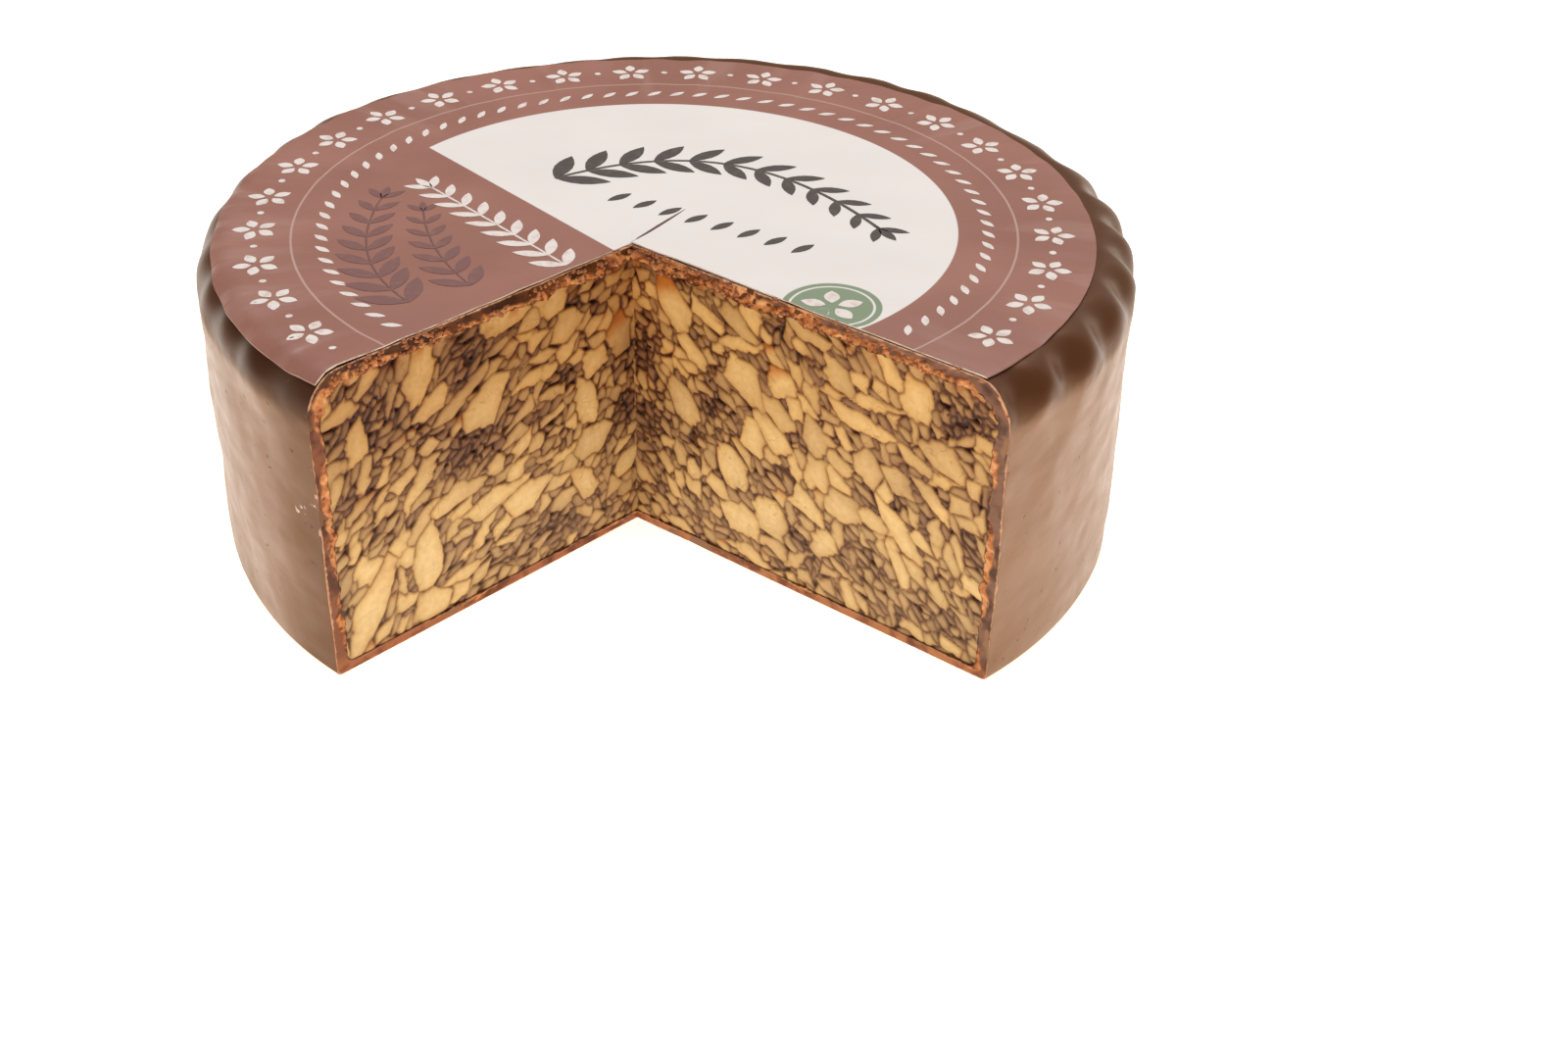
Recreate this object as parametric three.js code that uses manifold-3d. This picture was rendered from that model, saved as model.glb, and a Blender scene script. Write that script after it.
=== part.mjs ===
// A waxed cheddar wheel with one wedge cut out of its front.
//
// Three pieces: the cheese, a mosaic of curds that shows on the two cut faces; the wax coat round
// it, open at the cut; and the round label that lies on top and turns down over the shoulder.
// Millimetres, +Z up. The wheel is drawn round its own axis, with the cut towards -Y, and the
// finished group is then shifted so that its origin is at the bottom centre of its box.

import * as THREE from "three";
import { mergeVertices } from "three/addons/utils/BufferGeometryUtils.js";
import Module from "manifold-3d";

// Wheel
const WHEEL_RADIUS = 100;
const WHEEL_HEIGHT = 68;
const SHOULDER_RADIUS = 8;
const FOOT_RADIUS = 1.5;

// Slow bulges and flats of the plan: where they are, how wide, and how far out they push
const PLAN_BULGES = [
  { atDeg: 34, widthDeg: 13, rise: -2.4 },
  { atDeg: 112, widthDeg: 9, rise: -0.8 },
  { atDeg: 149, widthDeg: 11, rise: 1.1 },
  { atDeg: -150, widthDeg: 14, rise: -0.5 },
];
const BULGE_STARTS_AT = 0.5 * WHEEL_RADIUS;
const BULGE_FULL_AT = 0.9 * WHEEL_RADIUS;

// Thumb-pressed dishes round the shoulder, deepest on the right. Their middle and height are
// measured down the shoulder from where it starts to turn.
const DISH_COUNT = 36;
const DISH_DEPTH = 2.2;
const DISH_DEEPEST_DEG = -22;
const DISH_DEEP_SPREAD_DEG = 75;
const DISH_SHALLOWEST = 0.28;
const DISH_MIDDLE = 7.6;
const DISH_HALF_HEIGHT = 8.8;
const DISH_UNEVENNESS = 0.03;
const DISH_DEPTH_SWING = 0.12;
const DISH_TOP_REACH = 1.5;
const DISH_WALL_REACH = 4;

// Slow waves down the wall: how deep, how many round it, how they slant, and where they fade
const WALL_WAVE = 0.45;
const FINE_WAVES_ROUND = 9;
const BROAD_WAVES_ROUND = 5;
const WALL_WAVE_SLANT = 0.09;
const WALL_WAVE_FOOT_FADE = 20;
const WALL_WAVE_TOP_FADE = 12;

// Wax coat
const WAX_WALL = 2.8;
const WAX_TOP = 2.7;
const WAX_BOTTOM = 2;
const PIECE_GAP = 0.3;

// Cheese inside the coat: its rounded corners, and how much its top rolls under the wax
const CORE_CORNER_RADIUS = 6;
const CORE_FOOT_RADIUS = 1.8;
const CORE_ROLL = 0.7;
const CORE_ROLL_RINGS = 0.11;
const CORE_TOP_SHARES = [0.72, 0.48, 0.24, 0];

// Missing wedge: where its point lies from the wheel's axis, and which way its two sides run
const NOTCH_POINT = new THREE.Vector2(-7.1, -15.9);
const LEFT_CUT_DEG = -132.1;
const RIGHT_CUT_DEG = -37.2;

// Label
const LABEL_RADIUS = 93;
const LABEL_CENTRE = new THREE.Vector2(-2.6, -3.6);
const LABEL_THICKNESS = 0.4;
const LABEL_LIFT = 0.2;
const LABEL_RING_SHARES = [0.6, 0.92, 0.965, 1];

// Curds that stand out of the cut faces, largest first: how many, how long, and width to length
const CURD_SIZES = [
  { count: 7, longest: 22, shortest: 16, slenderness: 0.44 },
  { count: 16, longest: 15, shortest: 10.5, slenderness: 0.5 },
  { count: 30, longest: 9.5, shortest: 6, slenderness: 0.55 },
];
const CURD_PROUD = 0.4;
const CURD_ROOT = 1.2;
const CURD_SPACING = 0.6;
const CURD_LEAN_DEG = 58;
const CURD_LEAN_SPREAD_DEG = 26;
const CURD_EDGE_MARGIN = 1.5;
const CURD_POINT_MARGIN = 4;
const CURD_TRIES = 160;
const FEWEST_CORNERS = 5;
const CORNER_JITTER = 0.6;

// Pits where a bit of curd came away with the knife
const PIT_SIZES = [{ count: 7, longest: 5, shortest: 3, slenderness: 0.6 }];
const PIT_DEPTH = 0.9;

// Where the shoulder's round starts on the top and ends on the wall
const SHOULDER_START = WHEEL_RADIUS - SHOULDER_RADIUS;
const WALL_TOP = WHEEL_HEIGHT - SHOULDER_RADIUS;

// Fineness of the round surfaces
const OUTER_SEGMENTS = DISH_COUNT * 5;
const CORE_SEGMENTS = 56;
const LABEL_SEGMENTS = 88;

const wasm = await Module();
wasm.setup();

function smoothstep(low, high, value) {
  const t = THREE.MathUtils.clamp((value - low) / (high - low), 0, 1);
  return t * t * (3 - 2 * t);
}

// A repeatable stream of numbers from 0 to 1
function seededRandom(seed) {
  let state = seed;
  return () => {
    state = (state + 0x6d2b79f5) | 0;
    let t = Math.imul(state ^ (state >>> 15), 1 | state);
    t = (t + Math.imul(t ^ (t >>> 7), 61 | t)) ^ t;
    return ((t ^ (t >>> 14)) >>> 0) / 4294967296;
  };
}

// Closed mesh with its doubled points merged and its collapsed triangles dropped, as a solid
function toSolid(geometry) {
  const bare = geometry.clone();
  bare.deleteAttribute("normal");
  bare.deleteAttribute("uv");
  const merged = mergeVertices(bare, 1e-4);
  const index = merged.index.array;
  const kept = [];
  for (let i = 0; i < index.length; i += 3) {
    const [a, b, c] = [index[i], index[i + 1], index[i + 2]];
    if (a !== b && b !== c && c !== a) {
      kept.push(a, b, c);
    }
  }
  const vertProperties = new Float32Array(merged.attributes.position.array);
  const triVerts = new Uint32Array(kept);
  return new wasm.Manifold(new wasm.Mesh({ numProp: 3, vertProperties, triVerts }));
}

function toGeometry(solid) {
  const mesh = solid.getMesh();
  const geometry = new THREE.BufferGeometry();
  const points = new Float32Array(mesh.vertProperties);
  geometry.setAttribute("position", new THREE.BufferAttribute(points, 3));
  geometry.setIndex(new THREE.BufferAttribute(new Uint32Array(mesh.triVerts), 1));
  geometry.computeVertexNormals();
  return geometry;
}

// Points of a quarter round in the radius-height plane, from one angle to another
function arcPoints(centreRadius, centreHeight, radius, fromDeg, toDeg, steps) {
  const points = [];
  for (let i = 0; i <= steps; i += 1) {
    const angle = THREE.MathUtils.degToRad(fromDeg + ((toDeg - fromDeg) * i) / steps);
    points.push(
      new THREE.Vector2(
        centreRadius + radius * Math.cos(angle),
        centreHeight + radius * Math.sin(angle),
      ),
    );
  }
  return points;
}

// A profile from the bottom of the axis to its top, turned round +Z
function turned(profile, segments) {
  const geometry = new THREE.LatheGeometry(profile, segments);
  geometry.rotateX(Math.PI / 2);
  return geometry;
}

// Moves every point of a turned surface by a rule of its plan angle, radius and height
function reshape(geometry, rule) {
  const position = geometry.attributes.position;
  for (let i = 0; i < position.count; i += 1) {
    const x = position.getX(i);
    const y = position.getY(i);
    const moved = rule(Math.atan2(y, x), Math.hypot(x, y), position.getZ(i));
    position.setXYZ(
      i,
      moved.radius * Math.cos(moved.angle),
      moved.radius * Math.sin(moved.angle),
      moved.height,
    );
  }
  return geometry;
}

// Shortest way round from one plan angle to another, in degrees
function turnBetween(angle, atDeg) {
  const turn = THREE.MathUtils.radToDeg(angle) - atDeg;
  return turn - 360 * Math.round(turn / 360);
}

// How far the plan departs from a true circle at an angle
function planBulge(angle) {
  let rise = 0;
  for (const bulge of PLAN_BULGES) {
    const turn = turnBetween(angle, bulge.atDeg) / bulge.widthDeg;
    rise += bulge.rise * Math.exp(-turn * turn);
  }
  return rise;
}

// The same departure at a radius: none near the middle, all of it near the rim
function planSwell(angle, radius) {
  return planBulge(angle) * smoothstep(BULGE_STARTS_AT, BULGE_FULL_AT, radius);
}

// Depth of the dishes at an angle and a distance down the shoulder: ovals of uneven pitch that
// meet in soft ridges
function dishDent(angle, down) {
  const swing = Math.sin(7 * angle);
  const uneven = DISH_UNEVENNESS * (Math.sin(3 * angle + 1) + 0.6 * swing);
  const pitches = (DISH_COUNT * (angle + uneven)) / (2 * Math.PI);
  const across = 2 * (pitches - Math.floor(pitches)) - 1;
  const off = (down - DISH_MIDDLE) / DISH_HALF_HEIGHT;
  const oval = 0.5 + 0.5 * Math.cos(Math.PI * Math.min(Math.hypot(across, off), 1));
  const turn = turnBetween(angle, DISH_DEEPEST_DEG) / DISH_DEEP_SPREAD_DEG;
  const strength = THREE.MathUtils.lerp(DISH_SHALLOWEST, 1, Math.exp(-turn * turn));
  return DISH_DEPTH * strength * (1 + DISH_DEPTH_SWING * swing) * oval;
}

// Slow waves of the wall, which die out at the foot and under the shoulder
function wallWave(angle, height) {
  const above = smoothstep(0, WALL_WAVE_FOOT_FADE, height);
  const below = 1 - smoothstep(WALL_TOP - WALL_WAVE_TOP_FADE, WALL_TOP, height);
  const slant = WALL_WAVE_SLANT * height;
  const fine = Math.sin(FINE_WAVES_ROUND * angle + slant);
  const broad = Math.sin(BROAD_WAVES_ROUND * angle - slant / 2);
  return WALL_WAVE * fine * broad * above * below;
}

// The wax surface: the plan's bulges, the shoulder's dishes and the wall's waves
function waxSurface(angle, radius, height) {
  const rise = Math.max(height - WALL_TOP, 0);
  const reach = Math.max(radius - SHOULDER_START, 0.01);
  const tilt = Math.atan2(rise, reach);
  const below = Math.max(WALL_TOP - height, 0);
  const inside = Math.max(SHOULDER_START - radius, 0);
  const dent = dishDent(angle, SHOULDER_RADIUS * (Math.PI / 2 - tilt) + below - inside);
  return {
    angle,
    radius: radius + planSwell(angle, radius) + wallWave(angle, height) - dent * Math.cos(tilt),
    height: height - dent * Math.sin(tilt),
  };
}

// Outline of the whole wheel, from the middle of its base round to the middle of its top
function wheelProfile() {
  return [
    new THREE.Vector2(0, 0),
    ...arcPoints(WHEEL_RADIUS - FOOT_RADIUS, FOOT_RADIUS, FOOT_RADIUS, -90, 0, 2),
    new THREE.Vector2(WHEEL_RADIUS, WALL_TOP * 0.45),
    new THREE.Vector2(WHEEL_RADIUS, WALL_TOP - DISH_WALL_REACH),
    new THREE.Vector2(WHEEL_RADIUS, WALL_TOP - DISH_WALL_REACH / 2),
    ...arcPoints(SHOULDER_START, WALL_TOP, SHOULDER_RADIUS, 0, 90, 4),
    new THREE.Vector2(SHOULDER_START - DISH_TOP_REACH, WHEEL_HEIGHT),
    new THREE.Vector2(0, WHEEL_HEIGHT),
  ];
}

// Outline of the cheese under the wax, with room left all round where it cuts the coat's hollow
function coreProfile(room) {
  const radius = WHEEL_RADIUS - WAX_WALL - PIECE_GAP + room;
  const low = WAX_BOTTOM + PIECE_GAP - room;
  const high = WHEEL_HEIGHT - WAX_TOP - PIECE_GAP + room;
  const corner = CORE_CORNER_RADIUS;
  const foot = CORE_FOOT_RADIUS;
  return [
    new THREE.Vector2(0, low),
    ...arcPoints(radius - foot, low + foot, foot, -90, 0, 2),
    ...arcPoints(radius - corner, high - corner, corner, 0, 90, 3),
    ...CORE_TOP_SHARES.map((share) => new THREE.Vector2(radius * share, high)),
  ];
}

// The cheese under the wax follows the wheel's plan, and its top rolls a little
function coreSurface(angle, radius, height) {
  const rings = CORE_ROLL_RINGS * radius;
  const roll = Math.sin(rings + 3 * angle) * Math.sin(5 * angle + rings / 2);
  const nearTop = smoothstep(WALL_TOP - CORE_CORNER_RADIUS, WALL_TOP + CORE_CORNER_RADIUS, height);
  return {
    angle,
    radius: radius + planSwell(angle, radius),
    height: height - CORE_ROLL * (0.5 + 0.5 * roll) * nearTop,
  };
}

// The missing wedge, its point moved back so that both sides recede by the same distance
function notchSolid(recede) {
  const reach = WHEEL_RADIUS * 2;
  const leftCut = THREE.MathUtils.degToRad(LEFT_CUT_DEG);
  const rightCut = THREE.MathUtils.degToRad(RIGHT_CUT_DEG);
  const middle = (leftCut + rightCut) / 2;
  const back = recede / Math.sin((rightCut - leftCut) / 2);
  const point = new THREE.Vector2(Math.cos(middle), Math.sin(middle)).multiplyScalar(-back);
  point.add(NOTCH_POINT);
  const shape = new THREE.Shape();
  shape.moveTo(point.x, point.y);
  shape.lineTo(point.x + reach * Math.cos(leftCut), point.y + reach * Math.sin(leftCut));
  shape.lineTo(point.x + reach * Math.cos(rightCut), point.y + reach * Math.sin(rightCut));
  const geometry = new THREE.ExtrudeGeometry(shape, {
    depth: WHEEL_HEIGHT * 2,
    bevelEnabled: false,
  });
  geometry.translate(0, 0, -WHEEL_HEIGHT / 2);
  return toSolid(geometry);
}

// Length of a cut side, from the wedge's point out to the cheese's rim
function cutLength(cutDeg) {
  const angle = THREE.MathUtils.degToRad(cutDeg);
  const along = new THREE.Vector2(Math.cos(angle), Math.sin(angle));
  const rim = WHEEL_RADIUS - WAX_WALL;
  const inward = NOTCH_POINT.dot(along);
  return -inward + Math.sqrt(inward * inward - NOTCH_POINT.lengthSq() + rim * rim);
}

// The two cut faces, seen from inside the wedge: x runs to the right from the left end, y up and
// z out of the face
function cutFaces() {
  return [
    { cutDeg: LEFT_CUT_DEG, onLeft: true, seed: 7, length: cutLength(LEFT_CUT_DEG) },
    { cutDeg: RIGHT_CUT_DEG, onLeft: false, seed: 23, length: cutLength(RIGHT_CUT_DEG) },
  ].map((face) => {
    const angle = THREE.MathUtils.degToRad(face.cutDeg);
    const outward = new THREE.Vector3(Math.cos(angle), Math.sin(angle), 0);
    const across = face.onLeft ? outward.clone().negate() : outward.clone();
    const up = new THREE.Vector3(0, 0, 1);
    const frame = new THREE.Matrix4().makeBasis(across, up, across.clone().cross(up));
    const start = new THREE.Vector3(NOTCH_POINT.x, NOTCH_POINT.y, 0);
    if (face.onLeft) {
      start.addScaledVector(outward, face.length);
    }
    frame.setPosition(start);
    return { ...face, frame };
  });
}

// Corners of one curd: an angular, uneven oval that leans with its neighbours
function curdOutline(random, centre, length, slenderness, leanDeg) {
  const corners = FEWEST_CORNERS + Math.floor(random() * 3);
  const width = length * slenderness * (0.8 + 0.4 * random());
  const astray = CURD_LEAN_SPREAD_DEG * (2 * random() - 1);
  const lean = THREE.MathUtils.degToRad(leanDeg + astray);
  const outline = [];
  for (let i = 0; i < corners; i += 1) {
    const turn = ((i + CORNER_JITTER * (random() - 0.5)) / corners) * 2 * Math.PI;
    const corner = new THREE.Vector2(
      (Math.cos(turn) * length) / 2,
      (Math.sin(turn) * width) / 2,
    );
    outline.push(corner.rotateAround(new THREE.Vector2(), lean).add(centre));
  }
  return outline;
}

// True if a side of one outline keeps the other outline wholly beyond it
function sideParts(outline, other) {
  return outline.some((corner, i) => {
    const next = outline[(i + 1) % outline.length];
    const outward = new THREE.Vector2(next.y - corner.y, corner.x - next.x).normalize();
    return other.every((p) => outward.dot(p.clone().sub(corner)) > CURD_SPACING);
  });
}

function isApart(outline, others) {
  return others.every((other) => sideParts(outline, other) || sideParts(other, outline));
}

// Fills a cut face with outlines, the largest first, each clear of those before it
function scatter(face, sizes, seed, taken) {
  const random = seededRandom(seed);
  const left = face.onLeft ? CURD_EDGE_MARGIN : CURD_POINT_MARGIN;
  const right = face.length - (face.onLeft ? CURD_POINT_MARGIN : CURD_EDGE_MARGIN);
  const low = WAX_BOTTOM + CURD_EDGE_MARGIN;
  const high = WHEEL_HEIGHT - WAX_TOP - CORE_ROLL - CURD_EDGE_MARGIN;
  const lean = face.onLeft ? CURD_LEAN_DEG : -CURD_LEAN_DEG;
  const placed = [];
  for (const size of sizes) {
    let found = 0;
    for (let i = 0; i < CURD_TRIES * size.count && found < size.count; i += 1) {
      const centre = new THREE.Vector2(
        THREE.MathUtils.lerp(left, right, random()),
        THREE.MathUtils.lerp(low, high, random()),
      );
      const length = THREE.MathUtils.lerp(size.shortest, size.longest, random());
      const outline = curdOutline(random, centre, length, size.slenderness, lean);
      const inside = outline.every((p) => p.x > left && p.x < right && p.y > low && p.y < high);
      if (inside && isApart(outline, [...taken, ...placed])) {
        placed.push(outline);
        found += 1;
      }
    }
  }
  return placed;
}

// A prism through a cut face, from one depth to another along the face's outward direction
function facePrism(face, outline, from, to) {
  const geometry = new THREE.ExtrudeGeometry(new THREE.Shape(outline), {
    depth: to - from,
    bevelEnabled: false,
  });
  geometry.translate(0, 0, from);
  geometry.applyMatrix4(face.frame);
  return toSolid(geometry);
}

// The cheese: cut back a little between its large curds, which keep the knife's plane
function cheeseSolid() {
  const core = toSolid(reshape(turned(coreProfile(0), CORE_SEGMENTS), coreSurface));
  let cheese = core.subtract(notchSolid(CURD_PROUD));
  for (const face of cutFaces()) {
    const curds = scatter(face, CURD_SIZES, face.seed, []);
    const pits = scatter(face, PIT_SIZES, face.seed + 1, curds);
    for (const outline of curds) {
      cheese = cheese.add(facePrism(face, outline, -CURD_ROOT, 0));
    }
    for (const outline of pits) {
      cheese = cheese.subtract(facePrism(face, outline, -CURD_PROUD - PIT_DEPTH, CURD_ROOT));
    }
  }
  return cheese;
}

// The wax coat: the whole wheel less the cheese's room and the missing wedge
function waxSolid() {
  const wheel = toSolid(reshape(turned(wheelProfile(), OUTER_SEGMENTS), waxSurface));
  const hollow = toSolid(reshape(turned(coreProfile(PIECE_GAP), CORE_SEGMENTS), coreSurface));
  return wheel.subtract(hollow).subtract(notchSolid(0));
}

// Height of the smooth wax under the label: flat, then round over the shoulder
function labelBed(x, y) {
  const outer = Math.hypot(x, y);
  const radius = outer - planSwell(Math.atan2(y, x), outer);
  const over = Math.max(radius - SHOULDER_START, 0);
  const drop = SHOULDER_RADIUS - Math.sqrt(Math.max(SHOULDER_RADIUS ** 2 - over ** 2, 0));
  return WHEEL_HEIGHT - drop;
}

// The label: a thin disc, off the wheel's middle, laid over the top and cut by the wedge
function labelSolid() {
  const radii = LABEL_RING_SHARES.map((share) => share * LABEL_RADIUS);
  const profile = [
    new THREE.Vector2(0, 0),
    ...radii.map((radius) => new THREE.Vector2(radius, 0)),
    ...radii.toReversed().map((radius) => new THREE.Vector2(radius, LABEL_THICKNESS)),
    new THREE.Vector2(0, LABEL_THICKNESS),
  ];
  const disc = turned(profile, LABEL_SEGMENTS);
  disc.translate(LABEL_CENTRE.x, LABEL_CENTRE.y, LABEL_LIFT);
  const position = disc.attributes.position;
  for (let i = 0; i < position.count; i += 1) {
    const bed = labelBed(position.getX(i), position.getY(i));
    position.setZ(i, position.getZ(i) + bed);
  }
  return toSolid(disc).subtract(notchSolid(0));
}

function makePiece(name, solid, look) {
  const mesh = new THREE.Mesh(toGeometry(solid), new THREE.MeshStandardMaterial(look));
  mesh.name = name;
  return mesh;
}

const wheel = new THREE.Group();
wheel.add(makePiece("cheese", cheeseSolid(), { color: 0xcfa873, roughness: 0.55, metalness: 0 }));
wheel.add(makePiece("wax_coat", waxSolid(), { color: 0x59392a, roughness: 0.35, metalness: 0 }));
wheel.add(makePiece("label", labelSolid(), { color: 0x9c6c62, roughness: 0.5, metalness: 0 }));

// Origin at the bottom centre of the box
const box = new THREE.Box3().setFromObject(wheel);
const middle = box.getCenter(new THREE.Vector3());
wheel.position.set(-middle.x, -middle.y, -box.min.z);

export default wheel;
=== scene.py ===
"""A waxed cheddar wheel with one wedge cut out of its front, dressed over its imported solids.

Sizes are in millimetres in the wheel's own frame, with its axis at the origin and the cut towards
-Y, unless a name says metres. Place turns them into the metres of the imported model's frame.
"""
import logging
import math
from dataclasses import dataclass, field, replace
from enum import Enum
from typing import ClassVar

import bmesh
import bpy
import numpy as np
from mathutils import Matrix, Vector


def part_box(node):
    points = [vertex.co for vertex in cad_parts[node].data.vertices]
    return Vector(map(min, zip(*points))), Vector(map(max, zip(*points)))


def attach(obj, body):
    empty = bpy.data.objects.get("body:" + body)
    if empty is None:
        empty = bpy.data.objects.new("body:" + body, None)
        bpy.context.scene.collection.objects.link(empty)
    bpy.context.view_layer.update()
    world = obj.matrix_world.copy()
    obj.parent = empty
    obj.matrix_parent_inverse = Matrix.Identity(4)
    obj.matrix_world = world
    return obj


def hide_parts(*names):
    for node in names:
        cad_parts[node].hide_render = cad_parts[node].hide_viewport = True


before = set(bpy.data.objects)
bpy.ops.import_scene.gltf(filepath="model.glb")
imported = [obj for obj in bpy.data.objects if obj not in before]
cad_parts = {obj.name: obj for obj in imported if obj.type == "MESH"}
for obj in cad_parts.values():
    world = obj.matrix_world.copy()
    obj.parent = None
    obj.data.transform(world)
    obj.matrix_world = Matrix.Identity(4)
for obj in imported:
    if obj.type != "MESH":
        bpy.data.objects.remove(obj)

LOG = logging.getLogger("cheddar")
BODY = "root"
MM = 0.001
MIDDLE = (0.0, 0.0)
LEVEL = (1.0, 1.0, 0.0)
Array = np.ndarray
Pair = tuple[float, float]
Triple = tuple[float, float, float]
Piece = bpy.types.Object


def climb(low: float, high: float, value: Array) -> Array:
    """An even climb of some numbers, from 0 at low to 1 at high, flat past both."""
    t = np.clip((np.asarray(value) - low) / (high - low), 0, 1)
    return t * t * (3 - 2 * t)


def line(start: Pair, end: Pair, steps: int) -> Array:
    """Points of a straight stretch of an outline, without its last one."""
    return np.linspace(start, end, steps, endpoint=False)


def arc(centre: Pair, radius: float, from_deg: float, to_deg: float, steps: int) -> Array:
    """Points of a round stretch of an outline, without its last one, by angles from out to up."""
    turn = np.radians(np.linspace(from_deg, to_deg, steps, endpoint=False))
    return np.stack([centre[0] + radius * np.cos(turn), centre[1] + radius * np.sin(turn)], axis=1)


@dataclass(frozen=True)
class SoftNoise:
    """Smooth seeded noise over a plane, from -1 to 1, with lumps of one size."""

    seed: int
    cell: float
    table_size: int = 128

    def at(self, x: Array, y: Array) -> Array:
        """Value of the noise at places of the plane.

        Args:
            x: First coordinates.
            y: Second coordinates, of the same shape.

        Returns:
            One number for each place.
        """
        table = np.random.default_rng(self.seed).uniform(-1, 1, (self.table_size, self.table_size))
        across, up = x / self.cell, y / self.cell
        column, row = np.floor(across).astype(int), np.floor(up).astype(int)
        fx, fy = climb(0, 1, across - column), climb(0, 1, up - row)

        def corner(i: int, j: int) -> Array:
            """The table's value at one corner of each place's cell."""
            return table[(column + i) % self.table_size, (row + j) % self.table_size]

        low = corner(0, 0) * (1 - fx) + corner(1, 0) * fx
        high = corner(0, 1) * (1 - fx) + corner(1, 1) * fx
        return low * (1 - fy) + high * fy

    def on_line(self, x: Array) -> Array:
        """Value of the noise at places of one line."""
        return self.at(x, np.zeros_like(x))


class Cut(Enum):
    """The two sides of the missing wedge, each by the way it runs from the wedge's point."""

    LEFT = -132.1
    RIGHT = -37.2

    @property
    def turn(self) -> float:
        """Plan angle of the side, in radians."""
        return math.radians(self.value)

    @property
    def along(self) -> Array:
        """Unit vector in space, from the wedge's point out to the rim."""
        return np.array([math.cos(self.turn), math.sin(self.turn), 0.0])

    @property
    def outward(self) -> Array:
        """Unit vector in space, out of the cut face into the open wedge."""
        quarter = 1 if self is Cut.LEFT else -1
        return quarter * np.array([-self.along[1], self.along[0], 0.0])


@dataclass(frozen=True)
class Bulge:
    """A slow swell or flat of the wheel's plan."""

    at_deg: float
    width_deg: float
    rise: float

    def at(self, angle: Array) -> Array:
        """How far the plan is pushed out at some angles."""
        turn = (np.degrees(angle) - self.at_deg + 180) % 360 - 180
        return self.rise * np.exp(-((turn / self.width_deg) ** 2))


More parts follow.
